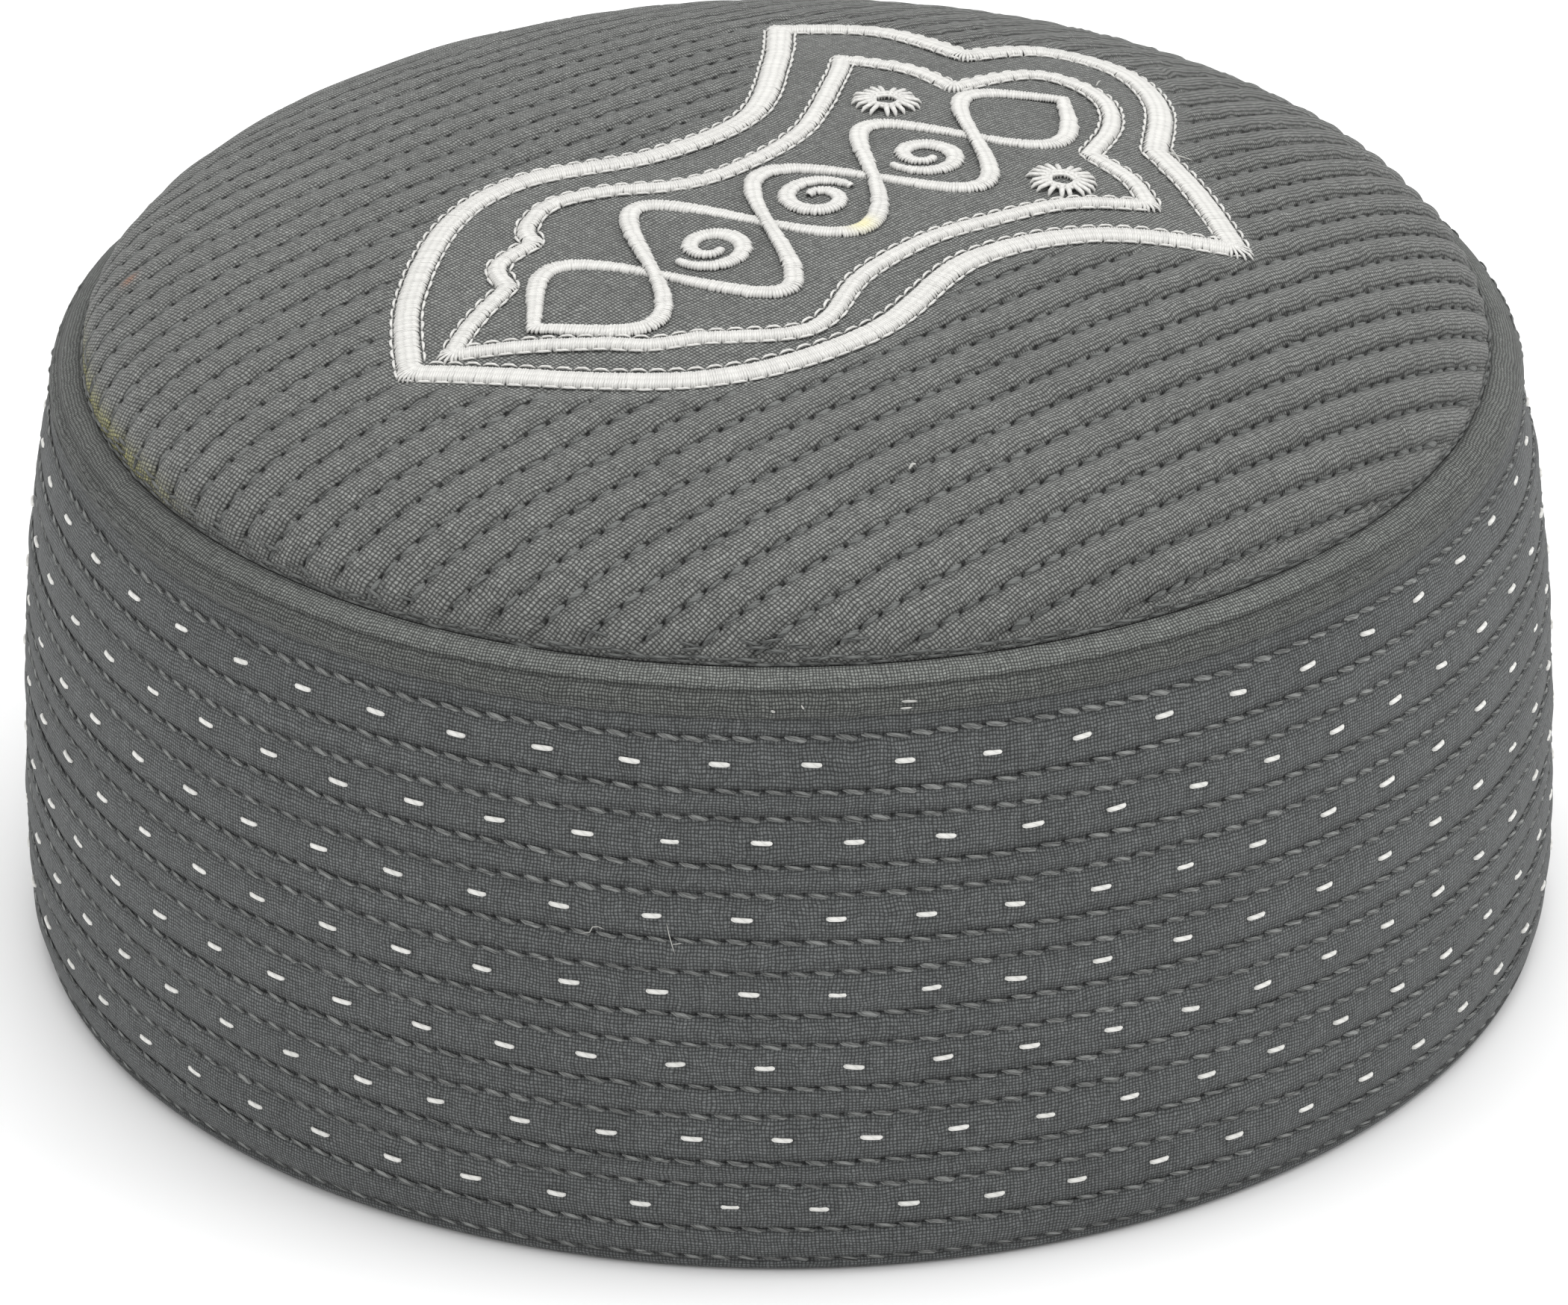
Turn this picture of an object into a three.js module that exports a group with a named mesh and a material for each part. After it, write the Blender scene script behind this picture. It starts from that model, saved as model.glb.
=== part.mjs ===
// A quilted round skullcap in millimetres, +Z up: an upright padded band, a low domed crown with slanting
// quilting rows, a rolled binding over the seam between them, and raised embroidery on the crown.
// The origin is the centre of the rim, on the surface that the cap stands on. The front faces -Y.

import * as THREE from "three";

// Driving dimensions
const HEAD_RADIUS = 89.6; // inside of the rim
const CLOTH = 2.4; // padded cloth, outside to inside
const GAP = 0.3; // between pieces that meet

const BAND_HEIGHT = 70.1;
const WIDE_CHANNEL = 5.75; // padded channels of the band, in pairs of a wide and a narrow one
const NARROW_CHANNEL = 3.52;
const HEM_HEIGHT = 1.9; // the lowest stitched row
const FIRST_ROW = 6.35; // the second, where the first wide channel starts
const WIDE_PUFF = 0.75; // how far a channel swells past its stitched rows
const NARROW_PUFF = 0.5;
const BINDING_HEIGHT = 4.3;
const SHOULDER = 3.6; // how far the crown's seam lies inside the top of the band

const CROWN_RISE = 21.2;
const CROWN_LEAN = 0.5; // the crown is this much higher towards LEAN_TOWARDS
const LEAN_TOWARDS = THREE.MathUtils.degToRad(35);
const ROW_PITCH = 5.89; // between quilting rows, along Y, in the middle of the crown
const ROW_OFFSET = 2.69; // of one row from the middle of the crown
const ROW_RISE = { slope: 0.826, bend: 0.235, twist: 0.033 }; // of the row through the middle
const ROW_SPREAD = { slope: 0.111, bend: 0.094 }; // how the rows spread from left to right
const ROW_PUFF = 0.6;
const SEAM_FLAT = 2.5; // width of the pressed edge next to the seam

const EMBLEM_LENGTH = 118; // from its tip to the top of its round lobe
const EMBLEM_TIP = { u: -0.54, v: -0.484 }; // on the crown's cloth laid flat, as shares of the crown's radius
const EMBLEM_ANGLE = THREE.MathUtils.degToRad(40.1); // from X
const FIELD_SINK = 0.3; // the embroidered cloth is pressed this far below the channels
const STITCH_CLEARANCE = 0.05; // what the dome's bend adds to the gap under the embroidery
const FIELD_FADE = 3; // width over which the channels start beside the emblem
const OUTER_WIDTH = 3.2;
const INNER_WIDTH = 2.3;
const TWIST_WIDTH = 1.9;
const THREAD_RISE = 0.8; // height of the satin stitching
const STRAND_RISE = 0.4; // height of the ornament's strand, which passes over itself
const ROSETTE_RADIUS = 4.3;
const ROSETTE_HOLE = 1.2;

// How finely the shapes are divided
const ROUND_STEPS = 40;
const ROW_STEPS = 16;
const LINING_STEPS = 8;
const SCAN_STEPS = 200; // along X, in search of where a row lies deepest inside the disc
const HALVINGS = 40; // in search of where it crosses the edge
const LINE_BUNCHING = 0.75; // how much closer together a line's points are at its ends, from 0 to 1
const EDGE_CLEARANCE = 0.4; // least distance of a line from where a row would only touch the edge, in lines
const ARC_STEPS = 240;
const LINE_STEP = 5;
const ROSETTE_STEPS = 16;
const LEAST_MITRE = 0.55; // keeps the outside of a sharp corner from running out too far
const TWIST_STEPS = 8; // along one side of an eye
const VOLUTE_STEPS = 12;

const STITCH_BASE = GAP - FIELD_SINK + STITCH_CLEARANCE; // underside of the embroidery, above the dome
const SEAM_HEIGHT = BAND_HEIGHT + GAP + BINDING_HEIGHT;
const RIM_RADIUS = HEAD_RADIUS + CLOTH;

// The band's outside, from the rim to its top: shares of its height and of its radius at the rim.
const BAND_PROFILE = [
  { up: 0, out: 0.995 },
  { up: 0.06, out: 1.0065 },
  { up: 0.15, out: 1.0109 },
  { up: 0.35, out: 1.0078 },
  { up: 0.57, out: 1.0011 },
  { up: 0.74, out: 0.9891 },
  { up: 0.885, out: 0.9739 },
  { up: 1, out: 0.9511 },
];

// The binding's outside: shares of its height, and of the way from the seam out to the top of the band.
const BINDING_PROFILE = [
  { up: 0, out: 1.06 },
  { up: 0.16, out: 1.14 },
  { up: 0.36, out: 1.08 },
  { up: 0.62, out: 0.84 },
  { up: 0.86, out: 0.46 },
  { up: 1, out: 0.12 },
];

// Centre lines of the emblem's two outlines, as shares of its length: along its axis from the tip, and across
// it, to the left. A corner ends one smooth stretch and starts the next.
const OUTER_LINE = [
  { along: 0.015, across: -0.004, corner: true },
  { along: 0.093, across: 0.094 },
  { along: 0.218, across: 0.184 },
  { along: 0.322, across: 0.198 },
  { along: 0.449, across: 0.141 },
  { along: 0.581, across: 0.149 },
  { along: 0.702, across: 0.25 },
  { along: 0.783, across: 0.339, corner: true },
  { along: 0.86, across: 0.266 },
  { along: 0.877, across: 0.152, corner: true },
  { along: 0.965, across: 0.13 },
  { along: 0.999, across: 0.045 },
  { along: 0.96, across: -0.056 },
  { along: 0.87, across: -0.15, corner: true },
  { along: 0.844, across: -0.239 },
  { along: 0.798, across: -0.352, corner: true },
  { along: 0.684, across: -0.266 },
  { along: 0.543, across: -0.238 },
  { along: 0.385, across: -0.281 },
  { along: 0.24, across: -0.256 },
  { along: 0.135, across: -0.173 },
];
const INNER_LINE = [
  { along: 0.058, across: -0.015, corner: true },
  { along: 0.111, across: 0.013 },
  { along: 0.172, across: 0.034, corner: true },
  { along: 0.192, across: 0.075 },
  { along: 0.245, across: 0.082, corner: true },
  { along: 0.258, across: 0.111 },
  { along: 0.305, across: 0.133 },
  { along: 0.36, across: 0.114 },
  { along: 0.428, across: 0.066 },
  { along: 0.509, across: 0.06 },
  { along: 0.604, across: 0.088 },
  { along: 0.72, across: 0.175 },
  { along: 0.76, across: 0.213, corner: true },
  { along: 0.796, across: 0.148 },
  { along: 0.797, across: 0.08, corner: true },
  { along: 0.893, across: 0.074 },
  { along: 0.92, across: 0.029 },
  { along: 0.91, across: -0.031 },
  { along: 0.865, across: -0.086 },
  { along: 0.8, across: -0.127, corner: true },
  { along: 0.798, across: -0.192 },
  { along: 0.776, across: -0.245, corner: true },
  { along: 0.706, across: -0.203 },
  { along: 0.611, across: -0.188 },
  { along: 0.529, across: -0.182 },
  { along: 0.434, across: -0.198 },
  { along: 0.359, across: -0.235 },
  { along: 0.311, across: -0.232 },
  { along: 0.237, across: -0.175, corner: true },
  { along: 0.2, across: -0.154 },
  { along: 0.173, across: -0.121, corner: true },
  { along: 0.112, across: -0.06 },
];

// The ornament is a twist: a strand runs up the emblem and back, crosses itself between one eye and the next,
// and lies over and under by turns. A row holds the twist's middle and half its width, as shares of the
// emblem's length.
const TWIST_PROFILE = [
  { up: 0, across: -0.045, reach: 0.05 },
  { up: 0.3, across: -0.054, reach: 0.115 },
  { up: 0.52, across: -0.046, reach: 0.075 },
  { up: 0.74, across: -0.034, reach: 0.088 },
  { up: 1, across: -0.002, reach: 0.055 },
];
const TWIST_START = 0.14; // shares of the emblem's length
const TWIST_END = 0.875;
const TWIST_EYES = 5;
const VOLUTE_TURNS = 1.3; // of the curl inside each eye but the end ones
const VOLUTE_SHARE = 0.56; // of half the eye's length or width, whichever is less
const VOLUTE_TIGHTEN = 0.72; // how much of its radius the curl loses on the way in

const ROSETTES = [
  { name: "rosette_left", along: 0.714, across: 0.089 },
  { name: "rosette_right", along: 0.732, across: -0.161 },
];

// A smooth curve through one column of a table whose rows go up from 0 to 1.
function smoothShare(table, up, column) {
  let i = 0;
  while (i < table.length - 2 && up > table[i + 1].up) i += 1;
  const from = table[i];
  const to = table[i + 1];
  const slope = (low, high) => (high[column] - low[column]) / (high.up - low.up);
  const slopeFrom = slope(table[Math.max(i - 1, 0)], to);
  const slopeTo = slope(from, table[Math.min(i + 2, table.length - 1)]);
  const width = to.up - from.up;
  const t = (up - from.up) / width;
  const level = (2 * t ** 3 - 3 * t ** 2 + 1) * from[column] + (3 * t ** 2 - 2 * t ** 3) * to[column];
  return level + width * ((t ** 3 - 2 * t ** 2 + t) * slopeFrom + (t ** 3 - t ** 2) * slopeTo);
}

function bandRadius(z) {
  return RIM_RADIUS * smoothShare(BAND_PROFILE, z / BAND_HEIGHT, "out");
}

const BAND_TOP_RADIUS = bandRadius(BAND_HEIGHT);
const CROWN_RADIUS = BAND_TOP_RADIUS - SHOULDER; // at the seam

function solid(name, geometry, colour, roughness) {
  const material = new THREE.MeshStandardMaterial({ color: colour, roughness, metalness: 0 });
  const mesh = new THREE.Mesh(geometry, material);
  mesh.name = name;
  return mesh;
}

// A closed profile of [radius, height] points turned round Z.
function turned(profile) {
  const points = profile.map(([r, z]) => new THREE.Vector2(r, z));
  points.push(points[0].clone());
  return new THREE.LatheGeometry(points, ROUND_STEPS).rotateX(Math.PI / 2);
}

// The stitched rows of the band from the hem up, each with the swell of the channel above it.
function bandChannels() {
  const channels = [{ low: HEM_HEIGHT, high: FIRST_ROW, puff: NARROW_PUFF, wide: false }];
  let z = FIRST_ROW;
  let wide = true;
  while (BAND_HEIGHT - z > CLOTH / 2) {
    const high = Math.min(z + (wide ? WIDE_CHANNEL : NARROW_CHANNEL), BAND_HEIGHT);
    channels.push({ low: z, high, puff: wide ? WIDE_PUFF : NARROW_PUFF, wide });
    z = high;
    wide = !wide;
  }
  return channels;
}

function bandGeometry() {
  const profile = [[bandRadius(0), 0]];
  for (const { low, high, puff, wide } of bandChannels()) {
    for (const share of wide ? [0, 0.25, 0.75] : [0, 0.5]) {
      const z = THREE.MathUtils.lerp(low, high, share);
      profile.push([bandRadius(z) - puff * (1 - Math.sin(Math.PI * share)), z]);
    }
  }
  profile.push([BAND_TOP_RADIUS, BAND_HEIGHT]);
  for (const { up } of [...BAND_PROFILE].reverse()) {
    const z = up * BAND_HEIGHT;
    profile.push([bandRadius(z) - CLOTH, z]);
  }
  return turned(profile);
}

function bindingGeometry() {
  const low = BAND_HEIGHT + GAP;
  const profile = BINDING_PROFILE.map(({ up, out }) => [
    THREE.MathUtils.lerp(CROWN_RADIUS, BAND_TOP_RADIUS, out),
    low + up * BINDING_HEIGHT,
  ]);
  const seat = SEAM_HEIGHT - GAP;
  profile.push([CROWN_RADIUS, seat]);
  profile.push([CROWN_RADIUS - CLOTH, seat]);
  profile.push([BAND_TOP_RADIUS - CLOTH, low]);
  return turned(profile);
}

// The crown's cloth is cut as a disc and domed to half an ellipse. A place on the flat disc is (u, v), and
// its distance from the middle is an arc length on the dome.
const arcs = [{ arc: 0, turn: 0 }];
for (let i = 1; i <= ARC_STEPS; i += 1) {
  const turn = (i / ARC_STEPS) * (Math.PI / 2);
  const middle = turn - Math.PI / (4 * ARC_STEPS);
  const speed = Math.hypot(CROWN_RADIUS * Math.cos(middle), CROWN_RISE * Math.sin(middle));
  arcs.push({ arc: arcs[i - 1].arc + (speed * Math.PI) / (2 * ARC_STEPS), turn });
}
const DISC_RADIUS = arcs[ARC_STEPS].arc;

function turnAt(arc) {
  const i = Math.max(1, arcs.findIndex((row) => row.arc >= Math.min(arc, DISC_RADIUS)));
  const share = (arc - arcs[i - 1].arc) / (arcs[i].arc - arcs[i - 1].arc);
  return THREE.MathUtils.lerp(arcs[i - 1].turn, arcs[i].turn, Math.min(share, 1));
}

// The point that stands `lift` above the dome over (u, v).
function onDome(u, v, lift) {
  const turn = turnAt(Math.hypot(u, v));
  const around = Math.atan2(v, u);
  const slope = Math.atan2(CROWN_RISE * Math.sin(turn), CROWN_RADIUS * Math.cos(turn));
  const r = CROWN_RADIUS * Math.sin(turn) + lift * Math.sin(slope);
  const lean = CROWN_LEAN * Math.sin(turn) * Math.cos(turn) ** 2 * Math.cos(around - LEAN_TOWARDS);
  const z = SEAM_HEIGHT + CROWN_RISE * Math.cos(turn) + lean + lift * Math.cos(slope);
  return [r * Math.cos(around), r * Math.sin(around), z];
}

// Quilting rows rise to the right, bend to the left and lie further apart on the right. The offset of a row
// is its distance along Y from the row through the middle, before they spread.
function rowRise(u) {
  const x = u / DISC_RADIUS;
  return DISC_RADIUS * (ROW_RISE.slope * x + ROW_RISE.bend * x ** 2 + ROW_RISE.twist * x ** 3);
}

function rowSpread(u) {
  const x = u / DISC_RADIUS;
  return 1 + ROW_SPREAD.slope * x + ROW_SPREAD.bend * x ** 2;
}

function rowOffset(u, v) {
  return (v - rowRise(u)) / rowSpread(u);
}

function rowPlace(u, offset) {
  return rowRise(u) + offset * rowSpread(u);
}

function emblemPlace({ along, across }) {
  const place = new THREE.Vector2(along * EMBLEM_LENGTH, across * EMBLEM_LENGTH);
  const tip = new THREE.Vector2(EMBLEM_TIP.u, EMBLEM_TIP.v).multiplyScalar(CROWN_RADIUS);
  return place.rotateAround(new THREE.Vector2(), EMBLEM_ANGLE).add(tip);
}

// The points of a closed line of smooth stretches between corners.
function closedLine(table) {
  const places = table.map((row) => ({ place: emblemPlace(row), corner: row.corner }));
  places.push(places[0]);
  const line = [];
  let stretch = [places[0].place];
  for (const { place, corner } of places.slice(1)) {
    stretch.push(place);
    if (!corner) continue;
    const curve = new THREE.SplineCurve(stretch);
    const steps = Math.max(2, Math.round(curve.getLength() / LINE_STEP));
    line.push(...curve.getSpacedPoints(steps).slice(0, -1));
    stretch = [place];
  }
  return line;
}

const outerLine = closedLine(OUTER_LINE);
const innerLine = closedLine(INNER_LINE);

// How far (u, v) lies outside the emblem's outer line, or 0 inside it.
function outsideEmblem(u, v) {
  const place = new THREE.Vector2(u, v);
  let inside = false;
  let nearest = Infinity;
  outerLine.forEach((a, i) => {
    const b = outerLine[(i + 1) % outerLine.length];
    const side = b.clone().sub(a);
    const share = THREE.MathUtils.clamp(place.clone().sub(a).dot(side) / side.lengthSq(), 0, 1);
    nearest = Math.min(nearest, place.distanceTo(a.clone().addScaledVector(side, share)));
    if (a.y > v !== b.y > v && u < a.x + ((v - a.y) / (b.y - a.y)) * (b.x - a.x)) inside = !inside;
  });
  return inside ? 0 : nearest;
}

// Height of the quilted cloth over the dome at (u, v): 0 on the channels, lower in the rows and the emblem.
function quilting(u, v) {
  const row = (rowOffset(u, v) - ROW_OFFSET) / ROW_PITCH;
  const groove = -ROW_PUFF * (1 - Math.abs(Math.sin(Math.PI * row)));
  const clear = outsideEmblem(u, v) - OUTER_WIDTH / 2;
  const field = THREE.MathUtils.smoothstep(clear, 0, FIELD_FADE);
  const edge = THREE.MathUtils.smoothstep(DISC_RADIUS - Math.hypot(u, v), 0, SEAM_FLAT);
  return edge * THREE.MathUtils.lerp(-FIELD_SINK, groove, field);
}

// The lines of the crown's grid: one in each quilting row and one on each channel between two rows, from edge
// to edge of the disc. The first and the last are single points where a row would only touch the edge.
function crownLines() {
  const touches = [];
  for (let degrees = 0; degrees < 360; degrees += 1) {
    const around = THREE.MathUtils.degToRad(degrees);
    const u = DISC_RADIUS * Math.cos(around);
    const v = DISC_RADIUS * Math.sin(around);
    touches.push({ u, v, offset: rowOffset(u, v) });
  }
  touches.sort((a, b) => a.offset - b.offset);
  const first = touches[0];
  const last = touches[touches.length - 1];
  const halfPitch = ROW_PITCH / 2;
  const from = Math.ceil((first.offset - ROW_OFFSET) / halfPitch + EDGE_CLEARANCE);
  const to = Math.floor((last.offset - ROW_OFFSET) / halfPitch - EDGE_CLEARANCE);
  const lines = [{ touch: first }];
  for (let i = from; i <= to; i += 1) {
    const offset = ROW_OFFSET + i * halfPitch;
    lines.push({ offset, ...lineEnds(offset) });
  }
  lines.push({ touch: last });
  return lines;
}

// Where a row crosses the edge of the disc.
function lineEnds(offset) {
  const beyond = (u) => Math.hypot(u, rowPlace(u, offset)) - DISC_RADIUS;
  let inside = 0;
  for (let i = 0; i <= SCAN_STEPS; i += 1) {
    const u = THREE.MathUtils.lerp(-DISC_RADIUS, DISC_RADIUS, i / SCAN_STEPS);
    if (beyond(u) < beyond(inside)) inside = u;
  }
  const crossing = (outside) => {
    let near = inside;
    let far = outside;
    for (let i = 0; i < HALVINGS; i += 1) {
      const middle = (near + far) / 2;
      if (beyond(middle) > 0) far = middle;
      else near = middle;
    }
    return near;
  };
  return { left: crossing(-DISC_RADIUS), right: crossing(DISC_RADIUS) };
}

// One surface of the crown on a grid with this many steps along each line, closer together at the ends.
function crownSurface(lines, steps, lift) {
  const rows = lines.map(({ touch, offset, left, right }) => {
    if (touch) return [onDome(touch.u, touch.v, lift(touch.u, touch.v))];
    return Array.from({ length: steps + 1 }, (_, k) => {
      const even = k / steps;
      const bunched = 0.5 - 0.5 * Math.cos(Math.PI * even);
      const u = THREE.MathUtils.lerp(left, right, THREE.MathUtils.lerp(even, bunched, LINE_BUNCHING));
      const v = rowPlace(u, offset);
      return onDome(u, v, lift(u, v));
    });
  });
  return rows;
}

function crownGeometry() {
  const lines = crownLines();
  const positions = [];
  const triangles = [];
  const addSurface = (rows, outward) => {
    const ids = rows.map((row) => row.map((point) => positions.push(...point) / 3 - 1));
    const at = (i, k) => (ids[i].length === 1 ? ids[i][0] : ids[i][k]);
    const steps = ids[1].length - 1;
    for (let i = 0; i < ids.length - 1; i += 1) {
      for (let k = 0; k < steps; k += 1) {
        addQuad(at(i, k), at(i, k + 1), at(i + 1, k + 1), at(i + 1, k), outward);
      }
    }
    const inner = ids.slice(1, -1);
    const rightEnds = inner.map((row) => row[steps]);
    const leftEnds = inner.map((row) => row[0]).reverse();
    return [ids[0][0], ...rightEnds, ids[ids.length - 1][0], ...leftEnds];
  };
  const addQuad = (a, b, c, d, outward) => {
    for (const corners of [[a, b, c], [a, c, d]]) {
      if (new Set(corners).size < 3) continue;
      triangles.push(...(outward ? corners : corners.reverse()));
    }
  };
  const outerEdge = addSurface(crownSurface(lines, ROW_STEPS, quilting), true);
  const innerEdge = addSurface(crownSurface(lines, LINING_STEPS, () => -CLOTH), false);
  outerEdge.forEach((outer, i) => {
    const next = (i + 1) % outerEdge.length;
    addQuad(outerEdge[next], outer, innerEdge[i], innerEdge[next], true);
  });
  const geometry = new THREE.BufferGeometry();
  geometry.setAttribute("position", new THREE.Float32BufferAttribute(positions, 3));
  geometry.setIndex(triangles);
  return geometry;
}

// A raised band of satin stitches along a line on the crown's flat cloth, with sloping sides.
function satin(line, width, rise, closed, over) {
  const count = line.length;
  const section = [
    { across: -0.5, lift: 0 },
    { across: 0.5, lift: 0 },
    { across: 0.3, lift: rise },
    { across: -0.3, lift: rise },
  ];
  const positions = [];
  const triangles = [];
  line.forEach((place, i) => {
    const before = closed || i > 0 ? line[(i + count - 1) % count] : place;
    const after = closed || i < count - 1 ? line[(i + 1) % count] : place;
    const arriving = place.clone().sub(before).normalize();
    const leaving = after.clone().sub(place).normalize();
    const along = arriving.clone().add(leaving).normalize();
    const turning = arriving.lengthSq() && leaving.lengthSq() ? along.dot(leaving) : 1;
    const reach = width / Math.max(turning, LEAST_MITRE);
    for (const { across, lift } of section) {
      const u = place.x - along.y * across * reach;
      const v = place.y + along.x * across * reach;
      positions.push(...onDome(u, v, STITCH_BASE + lift + (over ? over[i] * (rise + GAP) : 0)));
    }
  });
  const sides = section.length;
  for (let i = 0; i < (closed ? count : count - 1); i += 1) {
    const next = (i + 1) % count;
    for (let k = 0; k < sides; k += 1) {
      const a = i * sides + k;
      const b = i * sides + ((k + 1) % sides);
      const c = next * sides + ((k + 1) % sides);
      const d = next * sides + k;
      triangles.push(a, b, c, a, c, d);
    }
  }
  if (!closed) {
    const end = (count - 1) * sides;
    triangles.push(0, 2, 1, 0, 3, 2, end, end + 1, end + 2, end, end + 2, end + 3);
  }
  const geometry = new THREE.BufferGeometry();
  geometry.setAttribute("position", new THREE.Float32BufferAttribute(positions, 3));
  geometry.setIndex(triangles);
  return geometry;
}

function twistPlace(up, side) {
  const along = THREE.MathUtils.lerp(TWIST_START, TWIST_END, up);
  const reach = smoothShare(TWIST_PROFILE, up, "reach");
  const swing = side * reach * Math.sin(up * TWIST_EYES * Math.PI);
  return emblemPlace({ along, across: smoothShare(TWIST_PROFILE, up, "across") + swing });
}

// The twist's strand, up one side and down the other: its line, and how high each point of it lies.
function twistStrand() {
  const line = [];
  const over = [];
  const count = TWIST_EYES * TWIST_STEPS;
  for (let i = 0; i < 2 * count; i += 1) {
    const side = i < count ? 1 : -1;
    const up = i < count ? i / count : 2 - i / count;
    const turn = up * TWIST_EYES;
    const nearEnd = Math.min(1, 2 * turn, 2 * (TWIST_EYES - turn));
    line.push(twistPlace(up, side));
    over.push(0.5 + 0.5 * side * nearEnd * Math.cos(turn * Math.PI));
  }
  return { line, over };
}

// A curl that tightens towards the middle of one eye of the twist.
function voluteLine(eye) {
  const up = (eye + 0.5) / TWIST_EYES;
  const halfLength = (TWIST_END - TWIST_START) / (2 * TWIST_EYES);
  const halfWidth = smoothShare(TWIST_PROFILE, up, "reach");
  const radius = VOLUTE_SHARE * Math.min(halfLength, halfWidth) * EMBLEM_LENGTH;
  const centre = emblemPlace({
    along: THREE.MathUtils.lerp(TWIST_START, TWIST_END, up),
    across: smoothShare(TWIST_PROFILE, up, "across"),
  });
  return Array.from({ length: VOLUTE_STEPS + 1 }, (_, i) => {
    const share = i / VOLUTE_STEPS;
    const around = EMBLEM_ANGLE + Math.PI * (eye + 2 * VOLUTE_TURNS * share);
    const spoke = new THREE.Vector2(radius * (1 - VOLUTE_TIGHTEN * share), 0);
    return spoke.rotateAround(new THREE.Vector2(), around).add(centre);
  });
}

// A rosette is a closed ring of satin stitches round an eyelet.
function rosetteGeometry(row) {
  const centre = emblemPlace(row);
  const middle = (ROSETTE_RADIUS + ROSETTE_HOLE) / 2;
  const line = [];
  for (let i = 0; i < ROSETTE_STEPS; i += 1) {
    const around = (i / ROSETTE_STEPS) * 2 * Math.PI;
    line.push(new THREE.Vector2(middle, 0).rotateAround(new THREE.Vector2(), around).add(centre));
  }
  return satin(line, ROSETTE_RADIUS - ROSETTE_HOLE, THREAD_RISE, true);
}

const skullcap = new THREE.Group();
skullcap.name = "skullcap";
skullcap.add(solid("band", bandGeometry(), "#545655", 0.92));
skullcap.add(solid("edge_binding", bindingGeometry(), "#5a5c5b", 0.9));
skullcap.add(solid("crown", crownGeometry(), "#767877", 0.92));
skullcap.add(solid("emblem_outer_line", satin(outerLine, OUTER_WIDTH, THREAD_RISE, true), "#f2f1ec", 0.55));
skullcap.add(solid("emblem_inner_line", satin(innerLine, INNER_WIDTH, THREAD_RISE, true), "#f2f1ec", 0.55));
const { line: twistLine, over } = twistStrand();
const twist = satin(twistLine, TWIST_WIDTH, STRAND_RISE, true, over);
skullcap.add(solid("emblem_twist", twist, "#f2f1ec", 0.55));
for (let eye = 1; eye < TWIST_EYES - 1; eye += 1) {
  const volute = satin(voluteLine(eye), TWIST_WIDTH, STRAND_RISE, false);
  skullcap.add(solid(`emblem_volute_${eye}`, volute, "#f2f1ec", 0.55));
}
for (const row of ROSETTES) {
  skullcap.add(solid(row.name, rosetteGeometry(row), "#f2f1ec", 0.55));
}

export default skullcap;
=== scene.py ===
"""A quilted round skullcap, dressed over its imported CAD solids.
Lengths are in millimetres until a mesh is made."""

import math

import bpy
import numpy as np
from mathutils import Matrix, Vector


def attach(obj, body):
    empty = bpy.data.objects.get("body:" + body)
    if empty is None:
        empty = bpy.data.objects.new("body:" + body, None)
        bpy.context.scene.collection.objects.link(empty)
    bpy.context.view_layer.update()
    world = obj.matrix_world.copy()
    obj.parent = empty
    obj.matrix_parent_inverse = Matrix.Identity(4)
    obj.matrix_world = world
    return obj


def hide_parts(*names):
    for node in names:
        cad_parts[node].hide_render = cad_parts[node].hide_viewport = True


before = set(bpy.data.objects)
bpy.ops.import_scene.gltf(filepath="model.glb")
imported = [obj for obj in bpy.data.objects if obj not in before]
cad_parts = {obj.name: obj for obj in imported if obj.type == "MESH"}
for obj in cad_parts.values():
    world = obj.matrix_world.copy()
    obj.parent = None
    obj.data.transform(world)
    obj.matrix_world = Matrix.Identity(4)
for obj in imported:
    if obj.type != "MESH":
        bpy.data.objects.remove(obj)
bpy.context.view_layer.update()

MM = 0.001

# Sizes shared with the CAD source
HEAD_RADIUS = 89.6
CLOTH = 2.4
GAP = 0.3
BAND_HEIGHT = 70.1
WIDE_CHANNEL = 5.75
NARROW_CHANNEL = 3.52
HEM_HEIGHT = 1.9
FIRST_ROW = 6.35
WIDE_PUFF = 0.75
NARROW_PUFF = 0.5
BINDING_HEIGHT = 4.3
SHOULDER = 3.6
CROWN_RISE = 21.2
CROWN_LEAN = 0.5
LEAN_TOWARDS = math.radians(35)
ROW_PITCH = 5.89
ROW_OFFSET = 2.69
ROW_RISE = (0.826, 0.235, 0.033)
ROW_SPREAD = (0.111, 0.094)
SEAM_FLAT = 2.5
EMBLEM_LENGTH = 118
EMBLEM_TIP = (-0.54, -0.484)
EMBLEM_ANGLE = math.radians(40.1)
FIELD_SINK = 0.3
FIELD_FADE = 3
OUTER_WIDTH = 3.2
INNER_WIDTH = 2.3
TWIST_WIDTH = 1.9
ROSETTE_RADIUS = 4.3
ROSETTE_HOLE = 1.2

SEAM_HEIGHT = BAND_HEIGHT + GAP + BINDING_HEIGHT
RIM_RADIUS = HEAD_RADIUS + CLOTH

BAND_PROFILE = [
    (0, 0.995), (0.06, 1.0065), (0.15, 1.0109), (0.35, 1.0078),
    (0.57, 1.0011), (0.74, 0.9891), (0.885, 0.9739), (1, 0.9511),
]
BINDING_PROFILE = [(0, 1.06), (0.16, 1.14), (0.36, 1.08), (0.62, 0.84), (0.86, 0.46), (1, 0.12)]

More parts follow.
